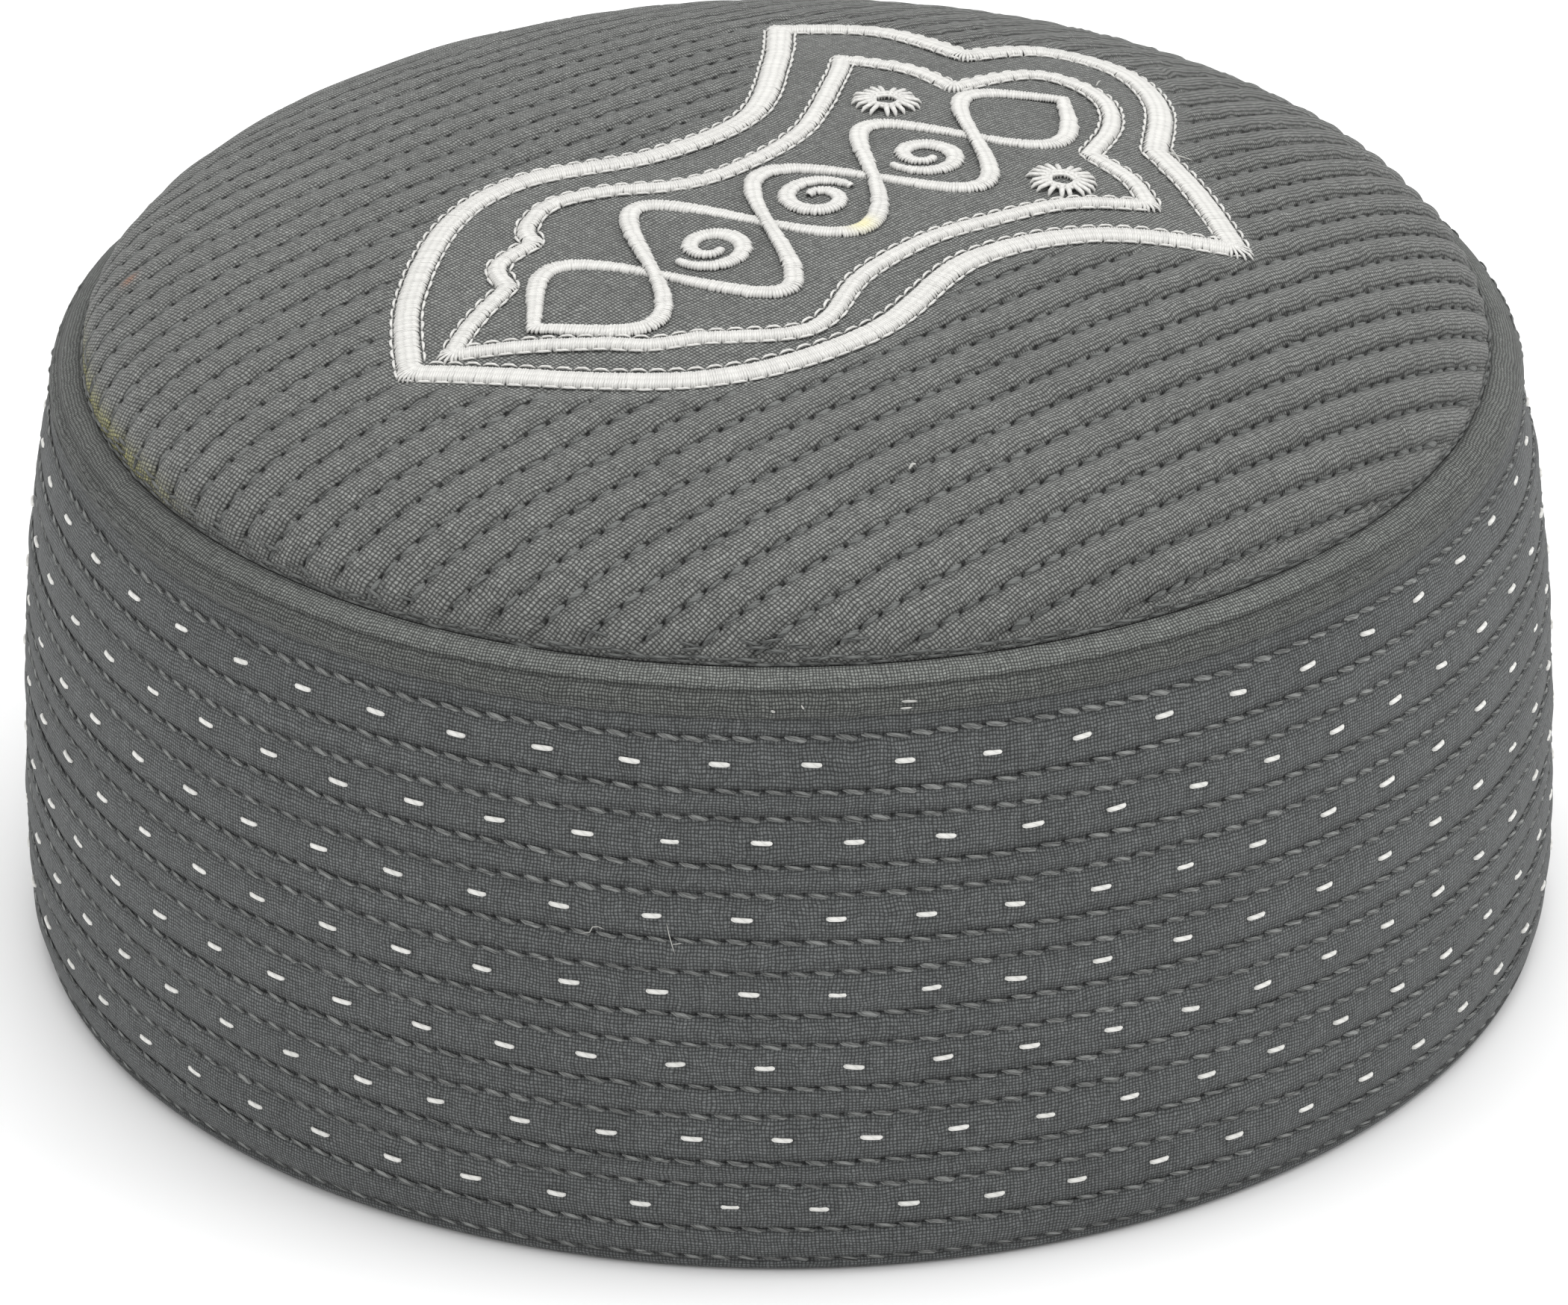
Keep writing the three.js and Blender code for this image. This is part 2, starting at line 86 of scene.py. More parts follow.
# The emblem's two outlines: shares of its length along and across its axis, and 1 at a corner
OUTER_LINE = [
    (0.015, -0.004, 1), (0.093, 0.094, 0), (0.218, 0.184, 0), (0.322, 0.198, 0), (0.449, 0.141, 0),
    (0.581, 0.149, 0), (0.702, 0.25, 0), (0.783, 0.339, 1), (0.86, 0.266, 0), (0.877, 0.152, 1),
    (0.965, 0.13, 0), (0.999, 0.045, 0), (0.96, -0.056, 0), (0.87, -0.15, 1), (0.844, -0.239, 0),
    (0.798, -0.352, 1), (0.684, -0.266, 0), (0.543, -0.238, 0), (0.385, -0.281, 0), (0.24, -0.256, 0),
    (0.135, -0.173, 0),
]
INNER_LINE = [
    (0.058, -0.015, 1), (0.111, 0.013, 0), (0.172, 0.034, 1), (0.192, 0.075, 0), (0.245, 0.082, 1),
    (0.258, 0.111, 0), (0.305, 0.133, 0), (0.36, 0.114, 0), (0.428, 0.066, 0), (0.509, 0.06, 0),
    (0.604, 0.088, 0), (0.72, 0.175, 0), (0.76, 0.213, 1), (0.796, 0.148, 0), (0.797, 0.08, 1),
    (0.893, 0.074, 0), (0.92, 0.029, 0), (0.91, -0.031, 0), (0.865, -0.086, 0), (0.8, -0.127, 1),
    (0.798, -0.192, 0), (0.776, -0.245, 1), (0.706, -0.203, 0), (0.611, -0.188, 0), (0.529, -0.182, 0),
    (0.434, -0.198, 0), (0.359, -0.235, 0), (0.311, -0.232, 0), (0.237, -0.175, 1), (0.2, -0.154, 0),
    (0.173, -0.121, 1), (0.112, -0.06, 0),
]
TWIST_ACROSS = [(0, -0.045), (0.3, -0.054), (0.52, -0.046), (0.74, -0.034), (1, -0.002)]
TWIST_REACH = [(0, 0.05), (0.3, 0.115), (0.52, 0.075), (0.74, 0.088), (1, 0.055)]
TWIST_START = 0.14
TWIST_END = 0.875
TWIST_EYES = 5
VOLUTE_TURNS = 1.3
VOLUTE_SHARE = 0.56
VOLUTE_TIGHTEN = 0.72
ROSETTES = [("rosette_left", 0.714, 0.089), ("rosette_right", 0.732, -0.161)]

# Sewing
STITCH_PITCH = 3.0
BAND_STITCHES = 193
WEAVE_PITCH = 0.42
ROUND_CELLS = 1376  # threads of the weave round the band, an even number
CROWN_WEAVE_PITCH = 0.39
CROWN_WEAVE_ANGLE = math.radians(40.5)
CROWN_WEAVE_SQUEEZE = 0.72
CROWN_WEAVE_FAN = 0.0018
CROWN_WEAVE_BEND = 0.003
THREAD = 0.7
BAND_THREAD = 0.52
STRAND = 0.2  # width of a loose strand over a stitch
# White dashes of the band, from the top row down: how many go round, and the first one's angle from the front
DASH_ROWS = [(54, 1.7), (55, -2.0), (55, -3.4), (56, -3.15), (57, -2.0), (57, -0.8), (57, 1.8)]
DASH_LENGTH = 2.45
DASH_WIDTH = 0.62


# Shapes shared with the CAD source

def smooth_share(table, up):
    x, y = np.array(table, float).T
    slopes = np.array([
        (y[min(i + 1, len(x) - 1)] - y[max(i - 1, 0)]) / (x[min(i + 1, len(x) - 1)] - x[max(i - 1, 0)])
        for i in range(len(x))
    ])
    up = np.asarray(up, float)
    i = np.clip(np.searchsorted(x, up) - 1, 0, len(x) - 2)
    width = x[i + 1] - x[i]
    t = (up - x[i]) / width
    level = (2 * t**3 - 3 * t**2 + 1) * y[i] + (3 * t**2 - 2 * t**3) * y[i + 1]
    return level + width * ((t**3 - 2 * t**2 + t) * slopes[i] + (t**3 - t**2) * slopes[i + 1])


def smoothstep(x, low, high):
    t = np.clip((x - low) / (high - low), 0, 1)
    return t * t * (3 - 2 * t)


def band_radius(z):
    return RIM_RADIUS * smooth_share(BAND_PROFILE, z / BAND_HEIGHT)


BAND_TOP_RADIUS = float(band_radius(BAND_HEIGHT))
CROWN_RADIUS = BAND_TOP_RADIUS - SHOULDER

turns = np.linspace(0, math.pi / 2, 2001)
speeds = np.hypot(CROWN_RADIUS * np.cos(turns), CROWN_RISE * np.sin(turns))
arcs = np.concatenate([[0], np.cumsum((speeds[1:] + speeds[:-1]) / 2 * np.diff(turns))])
DISC_RADIUS = float(arcs[-1])


def on_dome(u, v, lift):
    """Points that stand lift above the dome over (u, v) of its cloth laid flat, and the dome's normals."""
    turn = np.interp(np.hypot(u, v), arcs, turns)
    around = np.arctan2(v, u)
    slope = np.arctan2(CROWN_RISE * np.sin(turn), CROWN_RADIUS * np.cos(turn))
    r = CROWN_RADIUS * np.sin(turn) + lift * np.sin(slope)
    lean = CROWN_LEAN * np.sin(turn) * np.cos(turn) ** 2 * np.cos(around - LEAN_TOWARDS)
    z = SEAM_HEIGHT + CROWN_RISE * np.cos(turn) + lean + lift * np.cos(slope)
    normals = np.stack([np.cos(around) * np.sin(slope), np.sin(around) * np.sin(slope), np.cos(slope)], -1)
    return np.stack([r * np.cos(around), r * np.sin(around), z + 0 * around], -1), normals


def row_rise(u):
    x = u / DISC_RADIUS
    return DISC_RADIUS * (ROW_RISE[0] * x + ROW_RISE[1] * x**2 + ROW_RISE[2] * x**3)


def row_spread(u):
    x = u / DISC_RADIUS
    return 1 + ROW_SPREAD[0] * x + ROW_SPREAD[1] * x**2


def row_v(u, offset):
    return row_rise(u) + offset * row_spread(u)


def row_offset(u, v):
    return (v - row_rise(u)) / row_spread(u)


def row_slope(u, offset):
    x = u / DISC_RADIUS
    slope = ROW_RISE[0] + 2 * ROW_RISE[1] * x + 3 * ROW_RISE[2] * x**2
    return slope + offset * (ROW_SPREAD[0] + 2 * ROW_SPREAD[1] * x) / DISC_RADIUS


# Lengths along the sewn rows of the crown, from where u is 0
LAST_ROW = 45
ROW_SAMPLES = 1001
row_us = np.linspace(-1, 1, ROW_SAMPLES) * 1.02 * DISC_RADIUS
row_offsets = ROW_OFFSET + np.arange(-LAST_ROW, LAST_ROW + 1)[:, None] * ROW_PITCH
row_lengths = np.cumsum(np.hypot(1, row_slope(row_us, row_offsets)), 1) * (row_us[1] - row_us[0])
row_lengths -= row_lengths[:, ROW_SAMPLES // 2, None]


def row_length(u, row):
    at = np.clip((u - row_us[0]) / (row_us[1] - row_us[0]), 0, len(row_us) - 1.001)
    i = at.astype(int)
    k = np.asarray(row).astype(int) + LAST_ROW
    return row_lengths[k, i] + (at - i) * (row_lengths[k, i + 1] - row_lengths[k, i])


def row_place(length, row):
    return np.interp(length, row_lengths[row + LAST_ROW], row_us)


def emblem_place(along, across):
    along, across = np.asarray(along) * EMBLEM_LENGTH, np.asarray(across) * EMBLEM_LENGTH
    c, s = math.cos(EMBLEM_ANGLE), math.sin(EMBLEM_ANGLE)
    tip = np.array(EMBLEM_TIP) * CROWN_RADIUS
    return np.stack([c * along - s * across + tip[0], s * along + c * across + tip[1]], -1)


def closed_line(table):
    """A dense closed line of smooth stretches between corners."""
    places = [emblem_place(along, across) for along, across, _ in table] + [emblem_place(*table[0][:2])]
    corners = [row[2] for row in table] + [1]
    line, stretch = [], [places[0]]
    for place, corner in zip(places[1:], corners[1:]):
        stretch.append(place)
        if not corner:
            continue
        for i in range(len(stretch) - 1):
            p0, p1 = stretch[max(i - 1, 0)], stretch[i]
            p2, p3 = stretch[i + 1], stretch[min(i + 2, len(stretch) - 1)]
            t = np.arange(0, 1, 0.02)[:, None]
            v0, v1 = (p2 - p0) / 2, (p3 - p1) / 2
            bend = (2 * p1 - 2 * p2 + v0 + v1) * t**3 + (-3 * p1 + 3 * p2 - 2 * v0 - v1) * t**2
            line.append(bend + v0 * t + p1)
        stretch = [place]
    return np.concatenate(line)


def resample(line, step, closed):
    """The line's points at even steps, and each one's distance along it."""
    points = np.concatenate([line, line[:1]]) if closed else line
    lengths = np.concatenate([[0], np.cumsum(np.linalg.norm(np.diff(points, axis=0), axis=1))])
    count = max(3, round(lengths[-1] / step))
    at = np.arange(count) * lengths[-1] / count if closed else np.linspace(0, lengths[-1], count + 1)
    return np.stack([np.interp(at, lengths, points[:, k]) for k in range(2)], -1), at


outer_line = closed_line(OUTER_LINE)
inner_line = closed_line(INNER_LINE)


def emblem_distance(u, v):
    """How far (u, v) lies from the emblem's outer line: above 0 outside it, below 0 inside."""
    line = resample(outer_line, 2, True)[0]
    ends = np.roll(line, -1, 0)
    nearest = np.full(u.shape, 1e9)
    inside = np.zeros(u.shape, bool)
    for a, b in zip(line, ends):
        side = b - a
        share = np.clip(((u - a[0]) * side[0] + (v - a[1]) * side[1]) / (side @ side), 0, 1)
        nearest = np.minimum(nearest, np.hypot(u - a[0] - share * side[0], v - a[1] - share * side[1]))
        if a[1] != b[1]:
            crosses = ((a[1] > v) != (b[1] > v)) & (u < a[0] + (v - a[1]) / side[1] * side[0])
            inside ^= crosses
    return np.where(inside, -nearest, nearest)


# Meshes from arrays

def make_mesh(name, points, faces, attributes=None, round_length=0.0):
    """points in millimetres; faces is a list of index arrays, each with its own number of corners.
    round_length is the weave's length round a turned piece, whose faces across the start go on past it."""
    mesh = bpy.data.meshes.new(name)
    mesh.vertices.add(len(points))
    mesh.vertices.foreach_set("co", (np.asarray(points, np.float64) * MM).astype(np.float32).ravel())
    corners = np.concatenate([f.ravel() for f in faces]).astype(np.int32)
    sizes = np.concatenate([np.full(len(f), f.shape[1]) for f in faces]).astype(np.int32)
    starts = np.concatenate([[0], np.cumsum(sizes)[:-1]]).astype(np.int32)
    mesh.loops.add(len(corners))
    mesh.loops.foreach_set("vertex_index", corners)
    mesh.polygons.add(len(sizes))
    mesh.polygons.foreach_set("loop_start", starts)
    mesh.polygons.foreach_set("loop_total", sizes)
    mesh.update(calc_edges=True)
    for key, values in (attributes or {}).items():
        values = np.asarray(values, np.float32)
        kind = "FLOAT_VECTOR" if values.ndim == 2 else "FLOAT"
        domain = "POINT"
        if key in ("weave", "row") and round_length:
            length = round_length if key == "weave" else BAND_STITCHES
            domain = "CORNER"
            values = values[corners]
            highest = np.maximum.reduceat(values[:, 0], starts)
            highest = np.repeat(highest, sizes)
            values[:, 0] += np.where(highest - values[:, 0] > length / 2, length, 0)
        attribute = mesh.attributes.new(key, kind, domain)
        attribute.data.foreach_set("vector" if values.ndim == 2 else "value", values.ravel())
    mesh.shade_smooth()
    piece = bpy.data.objects.new(name, mesh)
    bpy.context.scene.collection.objects.link(piece)
    return piece


def grid_faces(rows, columns, wrap_columns=False, start=0, flip=False):
    i, k = np.meshgrid(np.arange(rows - 1), np.arange(columns - (not wrap_columns)), indexing="ij")
    after = (k + 1) % columns
    low, high = i * columns, (i + 1) * columns
    quads = np.stack([low + k, low + after, high + after, high + k], -1).reshape(-1, 4) + start
    return quads[:, ::-1] if flip else quads


def tubes(lines, normals, widths, heights, sides, seed):
    """Closed thin tubes along many short lines of equally many points, tapered to a point at both ends.
    Gives points, faces and the thread attribute: share of a turn round it, millimetres along it, random."""
    count, steps = lines.shape[:2]
    tangents = np.gradient(lines, axis=1)
    tangents /= np.linalg.norm(tangents, axis=2, keepdims=True) + 1e-9
    across = np.cross(tangents, normals)
    across /= np.linalg.norm(across, axis=2, keepdims=True) + 1e-9
    up = np.cross(across, tangents)
    angles = np.arange(sides) / sides * 2 * math.pi
    wide = (widths[:, 1:-1, None, None] / 2) * np.cos(angles)[:, None] * across[:, 1:-1, None]
    high = (heights[:, 1:-1, None, None] / 2) * np.sin(angles)[:, None] * up[:, 1:-1, None]
    ring = lines[:, 1:-1, None] + wide + high
    rings = steps - 2
    points = np.concatenate([lines[:, :1], ring.reshape(count, rings * sides, 3), lines[:, -1:]], 1)
    per = rings * sides + 2
    k = np.arange(sides)
    after = (k + 1) % sides
    start = np.stack([np.zeros(sides, int), 1 + after, 1 + k], -1)
    last = 1 + (rings - 1) * sides
    end = np.stack([np.full(sides, per - 1), last + k, last + after], -1)
    quads = []
    for r in range(rings - 1):
        a = 1 + r * sides
        quads.append(np.stack([a + k, a + after, a + sides + after, a + sides + k], -1))
    base = (np.arange(count) * per)[:, None, None]
    triangles = (np.concatenate([start, end])[None] + base).reshape(-1, 3)
    quads = (np.concatenate(quads)[None] + base).reshape(-1, 4)
    lengths = np.linalg.norm(np.diff(lines, axis=1), axis=2)
    along = np.concatenate([np.zeros((count, 1)), np.cumsum(lengths, 1)], 1)
    random = np.random.default_rng(seed).random(count)
    thread = np.zeros((count, per, 3))
    thread[:, 1:-1, 0] = np.tile(k / sides, (count, rings))
    thread[:, 1:-1, 1] = np.repeat(along[:, 1:-1], sides, 1)
    thread[:, -1, 1] = along[:, -1]
    thread[..., 2] = random[:, None]
    return points.reshape(-1, 3), [triangles, quads], thread.reshape(-1, 3)


def join(parts):
    """Several (points, faces, thread) as one."""
    points, triangles, quads, thread, start = [], [], [], [], 0
    for p, (tri, quad), th in parts:
        points.append(p)
        triangles.append(tri + start)
        quads.append(quad + start)
        thread.append(th)
        start += len(p)
    return np.concatenate(points), [np.concatenate(triangles), np.concatenate(quads)], np.concatenate(thread)


def gather(batches):
    """Several (lines, normals, widths, heights) as one."""
    return [np.concatenate(values) for values in zip(*batches)]


def sewn(lines, normals, widths, heights, sides, seed):
    """Stitches, each with a loose strand of its thread lying over it."""
    jitter = np.random.default_rng(seed + 100)
    count = len(lines)
    middle, up = lines[:, 1:6], normals[:, 1:6]
    tangents = np.gradient(middle, axis=1)
    tangents /= np.linalg.norm(tangents, axis=2, keepdims=True)
    t = np.linspace(-1, 1, 5)
    beside = jitter.normal(0, 0.13, (count, 1)) + jitter.normal(0, 0.15, (count, 1)) * t
    above = 0.15 - 0.12 * t**2 + jitter.normal(0, 0.02, (count, 1))
    strand = middle + np.cross(tangents, up) * beside[..., None] + up * above[..., None]
    size = STRAND * np.array([0, 0.9, 1, 0.9, 0]) * jitter.normal(1, 0.15, (count, 1))
    return join([
        tubes(lines, normals, widths, heights, sides, seed),
        tubes(strand, up, size, 0.7 * size, 3, seed + 1),
    ])


# Materials

HOLE_LENGTH = 0.42
HOLE_WIDTH = 0.3
OLIVE = (112, 110, 58)
BROWN = (128, 84, 56)
YELLOW = (226, 219, 160)
WEAVE_WOBBLE = ((0.22, 1.1), (1.3, 0.26))  # how finely the threads wander, and how far
GREY = (0.5, 0.5, 0.5)


class Nodes:
    """A small builder of node materials."""

    def __init__(self, name):
        self.material = bpy.data.materials.new(name)
        self.material.use_nodes = True
        self.tree = self.material.node_tree
        self.shader = self.tree.nodes["Principled BSDF"]

    def add(self, kind, inputs=None, **settings):
        node = self.tree.nodes.new(kind)
        for key, value in settings.items():
            setattr(node, key, value)
        for key, value in (inputs or {}).items():
            self.put(node.inputs[key], value)
        return node

    def put(self, socket, value):
        if isinstance(value, bpy.types.NodeSocket):
            self.tree.links.new(value, socket)
        else:
            socket.default_value = value

    def math(self, operation, a, b=0.0, clamp=False):
        return self.add("ShaderNodeMath", {0: a, 1: b}, operation=operation, use_clamp=clamp).outputs[0]

    def times(self, a, b):
        return self.math("MULTIPLY", a, b)

    def plus(self, a, b, clamp=False):
        return self.math("ADD", a, b, clamp)

    def vector(self, operation, a, b=None):
        inputs = {0: a}
        if b is not None:
            inputs["Scale" if operation == "SCALE" else 1] = b
        return self.add("ShaderNodeVectorMath", inputs, operation=operation).outputs[0]

    def parts(self, name):
        """The three numbers of a vector attribute."""
        return self.split(self.attribute(name).outputs["Vector"])

    def split(self, vector):
        return self.add("ShaderNodeSeparateXYZ", {0: vector}).outputs

    def blend(self, share, a, b):
        return self.add("ShaderNodeMix", {0: share, 2: a, 3: b}, data_type="FLOAT").outputs[0]

    def random(self, key, value, dimensions):
        return self.add("ShaderNodeTexWhiteNoise", {key: value}, noise_dimensions=dimensions).outputs["Value"]

    def mix(self, share, a, b):
        node = self.add("ShaderNodeMix", data_type="RGBA")
        for i, value in ((0, share), (6, a), (7, b)):
            self.put(node.inputs[i], value)
        return node.outputs[2]

    def range(self, value, low, high, to_low, to_high):
        inputs = {"Value": value, "From Min": low, "From Max": high, "To Min": to_low, "To Max": to_high}
        return self.add("ShaderNodeMapRange", inputs, clamp=True).outputs[0]

    def attribute(self, name):
        return self.add("ShaderNodeAttribute", attribute_name=name)

    def noise(self, vector, scale, detail=2.0, roughness=0.5):
        inputs = {"Vector": vector, "Scale": scale, "Detail": detail, "Roughness": roughness}
        return self.add("ShaderNodeTexNoise", inputs).outputs["Fac"]


def linear(r, g, b):
    """An sRGB colour, not near black, as the shader's linear one."""
    return tuple(((c / 255 + 0.055) / 1.055) ** 2.4 for c in (r, g, b)) + (1.0,)


def cloth_material(name, pitch, colour, contrast):
    """Plain weave on the attribute `weave`, in millimetres, darkened by the attribute `shade`.
    The attribute `row` holds the stitches counted along the nearest sewn row, the millimetres beside it and
    how far its holes show."""
    m = Nodes(name)
    weave = m.attribute("weave").outputs["Vector"]
    laid = weave
    for scale, size in WEAVE_WOBBLE:
        inputs = {"Vector": weave, "Scale": scale, "Detail": 2.0}
        wobble = m.vector("SUBTRACT", m.add("ShaderNodeTexNoise", inputs).outputs["Color"], GREY)
        laid = m.vector("ADD", laid, m.vector("SCALE", wobble, size))
    cells = m.vector("SCALE", laid, 1 / pitch)
    x, y = m.split(cells)[:2]
    sin_x, sin_y = [m.math("SINE", m.times(cell, math.pi)) for cell in (x, y)]
    over = m.plus(m.times(m.times(sin_x, sin_y), 3.0), 0.5, clamp=True)
    across_x, across_y = m.math("ABSOLUTE", sin_x), m.math("ABSOLUTE", sin_y)
    warp = m.times(across_x, m.math("POWER", across_y, 0.35))
    weft = m.times(across_y, m.math("POWER", across_x, 0.35))
    tops = m.math("POWER", m.times(across_x, across_y), 1.25)
    height = m.plus(m.times(tops, 0.7), m.times(m.blend(over, weft, warp), 0.3))

    speck = m.random("Vector", m.vector("FLOOR", cells), "3D")
    ends, picks = [m.random("W", m.math("FLOOR", cell), "1D") for cell in (x, y)]
    threads = m.blend(over, picks, ends)
    slub = m.noise(laid, 0.9, 3.0, 0.6)
    patch = m.noise(laid, 0.06, 3.0, 0.55)

    step, beside, shows = m.parts("row")
    along = m.times(m.math("PINGPONG", step, 0.5), STITCH_PITCH / HOLE_LENGTH)
    beside = m.plus(beside, m.range(slub, 0.3, 0.7, -0.08, 0.08))
    off = m.math("DIVIDE", beside, HOLE_WIDTH)
    far = m.math("SQRT", m.plus(m.times(along, along), m.times(off, off)))
    # Painted shade: each stitch hole and the furrow beside each sewn row darken the cloth's colour; the hole
    # also sinks the bump.
    hole = m.times(m.range(far, 0.45, 1.35, 1, 0), shows)
    furrow_shade = m.times(m.math("POWER", m.range(beside, 0, 1.4, 1, 0), 1.6), shows)

    shade = m.attribute("shade").outputs["Fac"]
    # Painted highlight and shade: the weave's crossings are painted lighter and the gaps between its threads
    # darker, by the weave's height.
    bright = m.range(height, 0.05, 0.95, 1 - 0.52 * contrast, 1 + 0.98 * contrast)
    for value, low, high, spread in (
        (speck, 0, 1, 0.15 * contrast), (threads, 0, 1, 0.1), (slub, 0.3, 0.7, 0.1), (patch, 0.3, 0.7, 0.06),
    ):
        bright = m.times(bright, m.range(value, low, high, 1 - spread, 1 + spread))
    for dark in (shade, m.times(hole, 0.85), m.times(furrow_shade, 0.42)):
        bright = m.times(bright, m.math("SUBTRACT", 1.0, dark, clamp=True))
    tint = m.mix(slub, linear(*colour[0]), linear(*colour[1]))
    olive, brown, _ = m.parts("stain")
    tint = m.mix(m.times(olive, m.range(speck, 0, 1, 0.5, 1)), tint, linear(*OLIVE))
    tint = m.mix(brown, tint, linear(*BROWN))
    bump_height = m.plus(height, m.times(slub, 0.5))
    bump_height = m.math("SUBTRACT", bump_height, m.times(hole, 3.0))
    bump = m.add("ShaderNodeBump", {"Height": bump_height, "Strength": 0.8, "Distance": 0.00009})
    m.put(m.shader.inputs["Base Color"], m.vector("SCALE", tint, bright))
    m.put(m.shader.inputs["Normal"], bump.outputs[0])
    m.put(m.shader.inputs["Roughness"], m.range(height, 0, 1, 0.98, 0.84))
    m.shader.inputs["Sheen Weight"].default_value = 0.12
    m.shader.inputs["Sheen Roughness"].default_value = 0.5
    m.shader.inputs["Specular IOR Level"].default_value = 0.25
    return m.material


def thread_material(name, dark, light, twist, strength, roughness, sheen):
    """Sewing thread of two plies on the attribute `thread`: share round it, millimetres along it, random."""
    m = Nodes(name)
    around, along, random = m.parts("thread")
    phase = m.plus(m.times(around, 2 * 2 * math.pi), m.times(along, twist))
    ply = m.math("ABSOLUTE", m.math("SINE", m.times(phase, 0.5)))
    ply = m.math("POWER", ply, 0.6)
    fibre = m.math("SINE", m.times(phase, 3.5))
    # Painted highlight and shade: each ply's crest is painted towards `light` and the crease between the
    # plies towards `dark`; the random part is each thread's own tone.
    lightness = m.plus(m.range(ply, 0, 1, 0.0, 0.6), m.range(random, 0, 1, 0.05, 0.4))
    lightness = m.plus(lightness, m.times(fibre, 0.14), clamp=True)
    colour = m.mix(lightness, linear(*dark), linear(*light))
    colour = m.mix(m.attribute("mark").outputs["Fac"], colour, linear(*YELLOW))
    relief = m.plus(ply, m.times(fibre, 0.15))
    bump = m.add("ShaderNodeBump", {"Height": relief, "Strength": strength, "Distance": 0.00012})
    m.put(m.shader.inputs["Base Color"], colour)
    m.put(m.shader.inputs["Normal"], bump.outputs[0])
    m.put(m.shader.inputs["Roughness"], m.range(ply, 0, 1, roughness + 0.15, roughness))
    m.shader.inputs["Sheen Weight"].default_value = sheen
    m.shader.inputs["Specular IOR Level"].default_value = 0.35
    return m.material


# The crown, binding and band are one cloth; the band's copy is painted darker than the crown's and the
# binding's, a painted shade on the wall.
crown_cloth = cloth_material("crown_weave", CROWN_WEAVE_PITCH, ((87, 88, 86), (98, 99, 97)), 1.2)
band_cloth = cloth_material("band_weave", WEAVE_PITCH, ((73, 75, 75), (83, 85, 85)), 1.05)
binding_cloth = cloth_material("binding_weave", WEAVE_PITCH, ((84, 86, 84), (95, 97, 94)), 1.2)
# The crown's and the band's stitches are one grey thread; the band's copy is painted lighter, a painted
# highlight on the wall's stitches.
crown_thread = thread_material("crown_thread", (42, 44, 43), (106, 108, 106), 3.0, 0.9, 0.7, 0.1)
band_thread = thread_material("band_thread", (42, 44, 43), (142, 144, 142), 3.0, 0.9, 0.7, 0.1)
white_thread = thread_material("white_thread", (180, 179, 176), (214, 213, 209), 7.0, 0.2, 0.45, 0.2)
lint_thread = thread_material("lint_thread", (140, 140, 136), (196, 196, 191), 5.0, 0.5, 0.6, 0.2)
dash_thread = thread_material("dash_thread", (196, 196, 191), (230, 229, 225), 5.0, 0.5, 0.5, 0.2)


def finish_piece(piece, material, nodes=()):
    piece.data.materials.append(material)
    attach(piece, "root")
    if nodes:
        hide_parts(*nodes)


def thread_piece(name, part, material, nodes=(), marks=None):
    """A piece of sewing thread from its points, faces and thread attribute."""
    points, faces, thread = part
    finish_piece(make_mesh(name, points, faces, {"thread": thread, **(marks or {})}), material, nodes)


# The crown

ROW_SHARES = np.array([0, 0.06, 0.14, 0.27, 0.5, 0.73, 0.86, 0.94])
LINE_POINTS = 232
LINING_POINTS = 9
PUFF = 0.75
CREST = 0.12
STAIN_MIDDLE = 196  # degrees from X
STAIN_HALF = 15
SPECK = (-80, 0.5)
HALVINGS = 40

ROW_PHASES = 200
row_phases = np.random.default_rng(11).random(ROW_PHASES) * STITCH_PITCH


def row_depth(u):
    """How deep the quilting rows of the crown lie: shallow on the left, deep on the right."""
    return PUFF * (0.7 + 0.35 * smoothstep(u, -60, 10) + 0.75 * smoothstep(u, 10, 70))


def hole_phase(row):
    """Where the first hole of a row lies, in millimetres along it."""
    return row_phases[np.asarray(np.round(row), int) + ROW_PHASES // 2]


def quilt_height(u, v):
    """The crown's cloth over the dome: its height, how dark it is, and its place by the nearest sewn row."""
    rows = (row_offset(u, v) - ROW_OFFSET) / ROW_PITCH
    nearest = np.round(rows)
    swell = np.abs(np.sin(math.pi * rows)) ** (0.6 + 0.25 * smoothstep(u, 10, 70))
    reach = np.hypot(u, v)
    soft = 0.08 * np.sin(0.31 * u + 1.7 * nearest) + 0.06 * np.sin(0.13 * u - 0.21 * v + 0.9 * nearest)
    channel = CREST - row_depth(u) * (1 - swell) + soft * swell
    step = (row_length(u, nearest) - hole_phase(nearest)) / STITCH_PITCH
    slope = row_slope(u, ROW_OFFSET + nearest * ROW_PITCH)
    beside = np.abs(rows - nearest) * ROW_PITCH * row_spread(u) / np.hypot(1, slope)
    clear = emblem_distance(u, v) - OUTER_WIDTH / 2
    field = smoothstep(clear, 0, FIELD_FADE)
    pillow = -FIELD_SINK + 0.12 * np.sin(0.21 * u + 0.4) * np.sin(0.19 * v)
    edge = smoothstep(DISC_RADIUS - reach, 0.3, SEAM_FLAT)
    height = edge * (pillow * (1 - field) + channel * field) - (1 - edge) * 0.05
    shade = 0.22 * np.exp(-(((DISC_RADIUS - reach - 0.2) / 0.7) ** 2))
    return height, shade, np.stack([step, beside, field * edge], -1)


def crown_weave(u, v):
    """Millimetres along and across the crown's threads, which lie aslant and fan out a little."""
    c, s = math.cos(CROWN_WEAVE_ANGLE), math.sin(CROWN_WEAVE_ANGLE)
    along = c * u + s * v + CROWN_WEAVE_FAN * u * v
    across = c * v - s * u - CROWN_WEAVE_BEND * u**2 / 2
    return along, CROWN_WEAVE_SQUEEZE * across


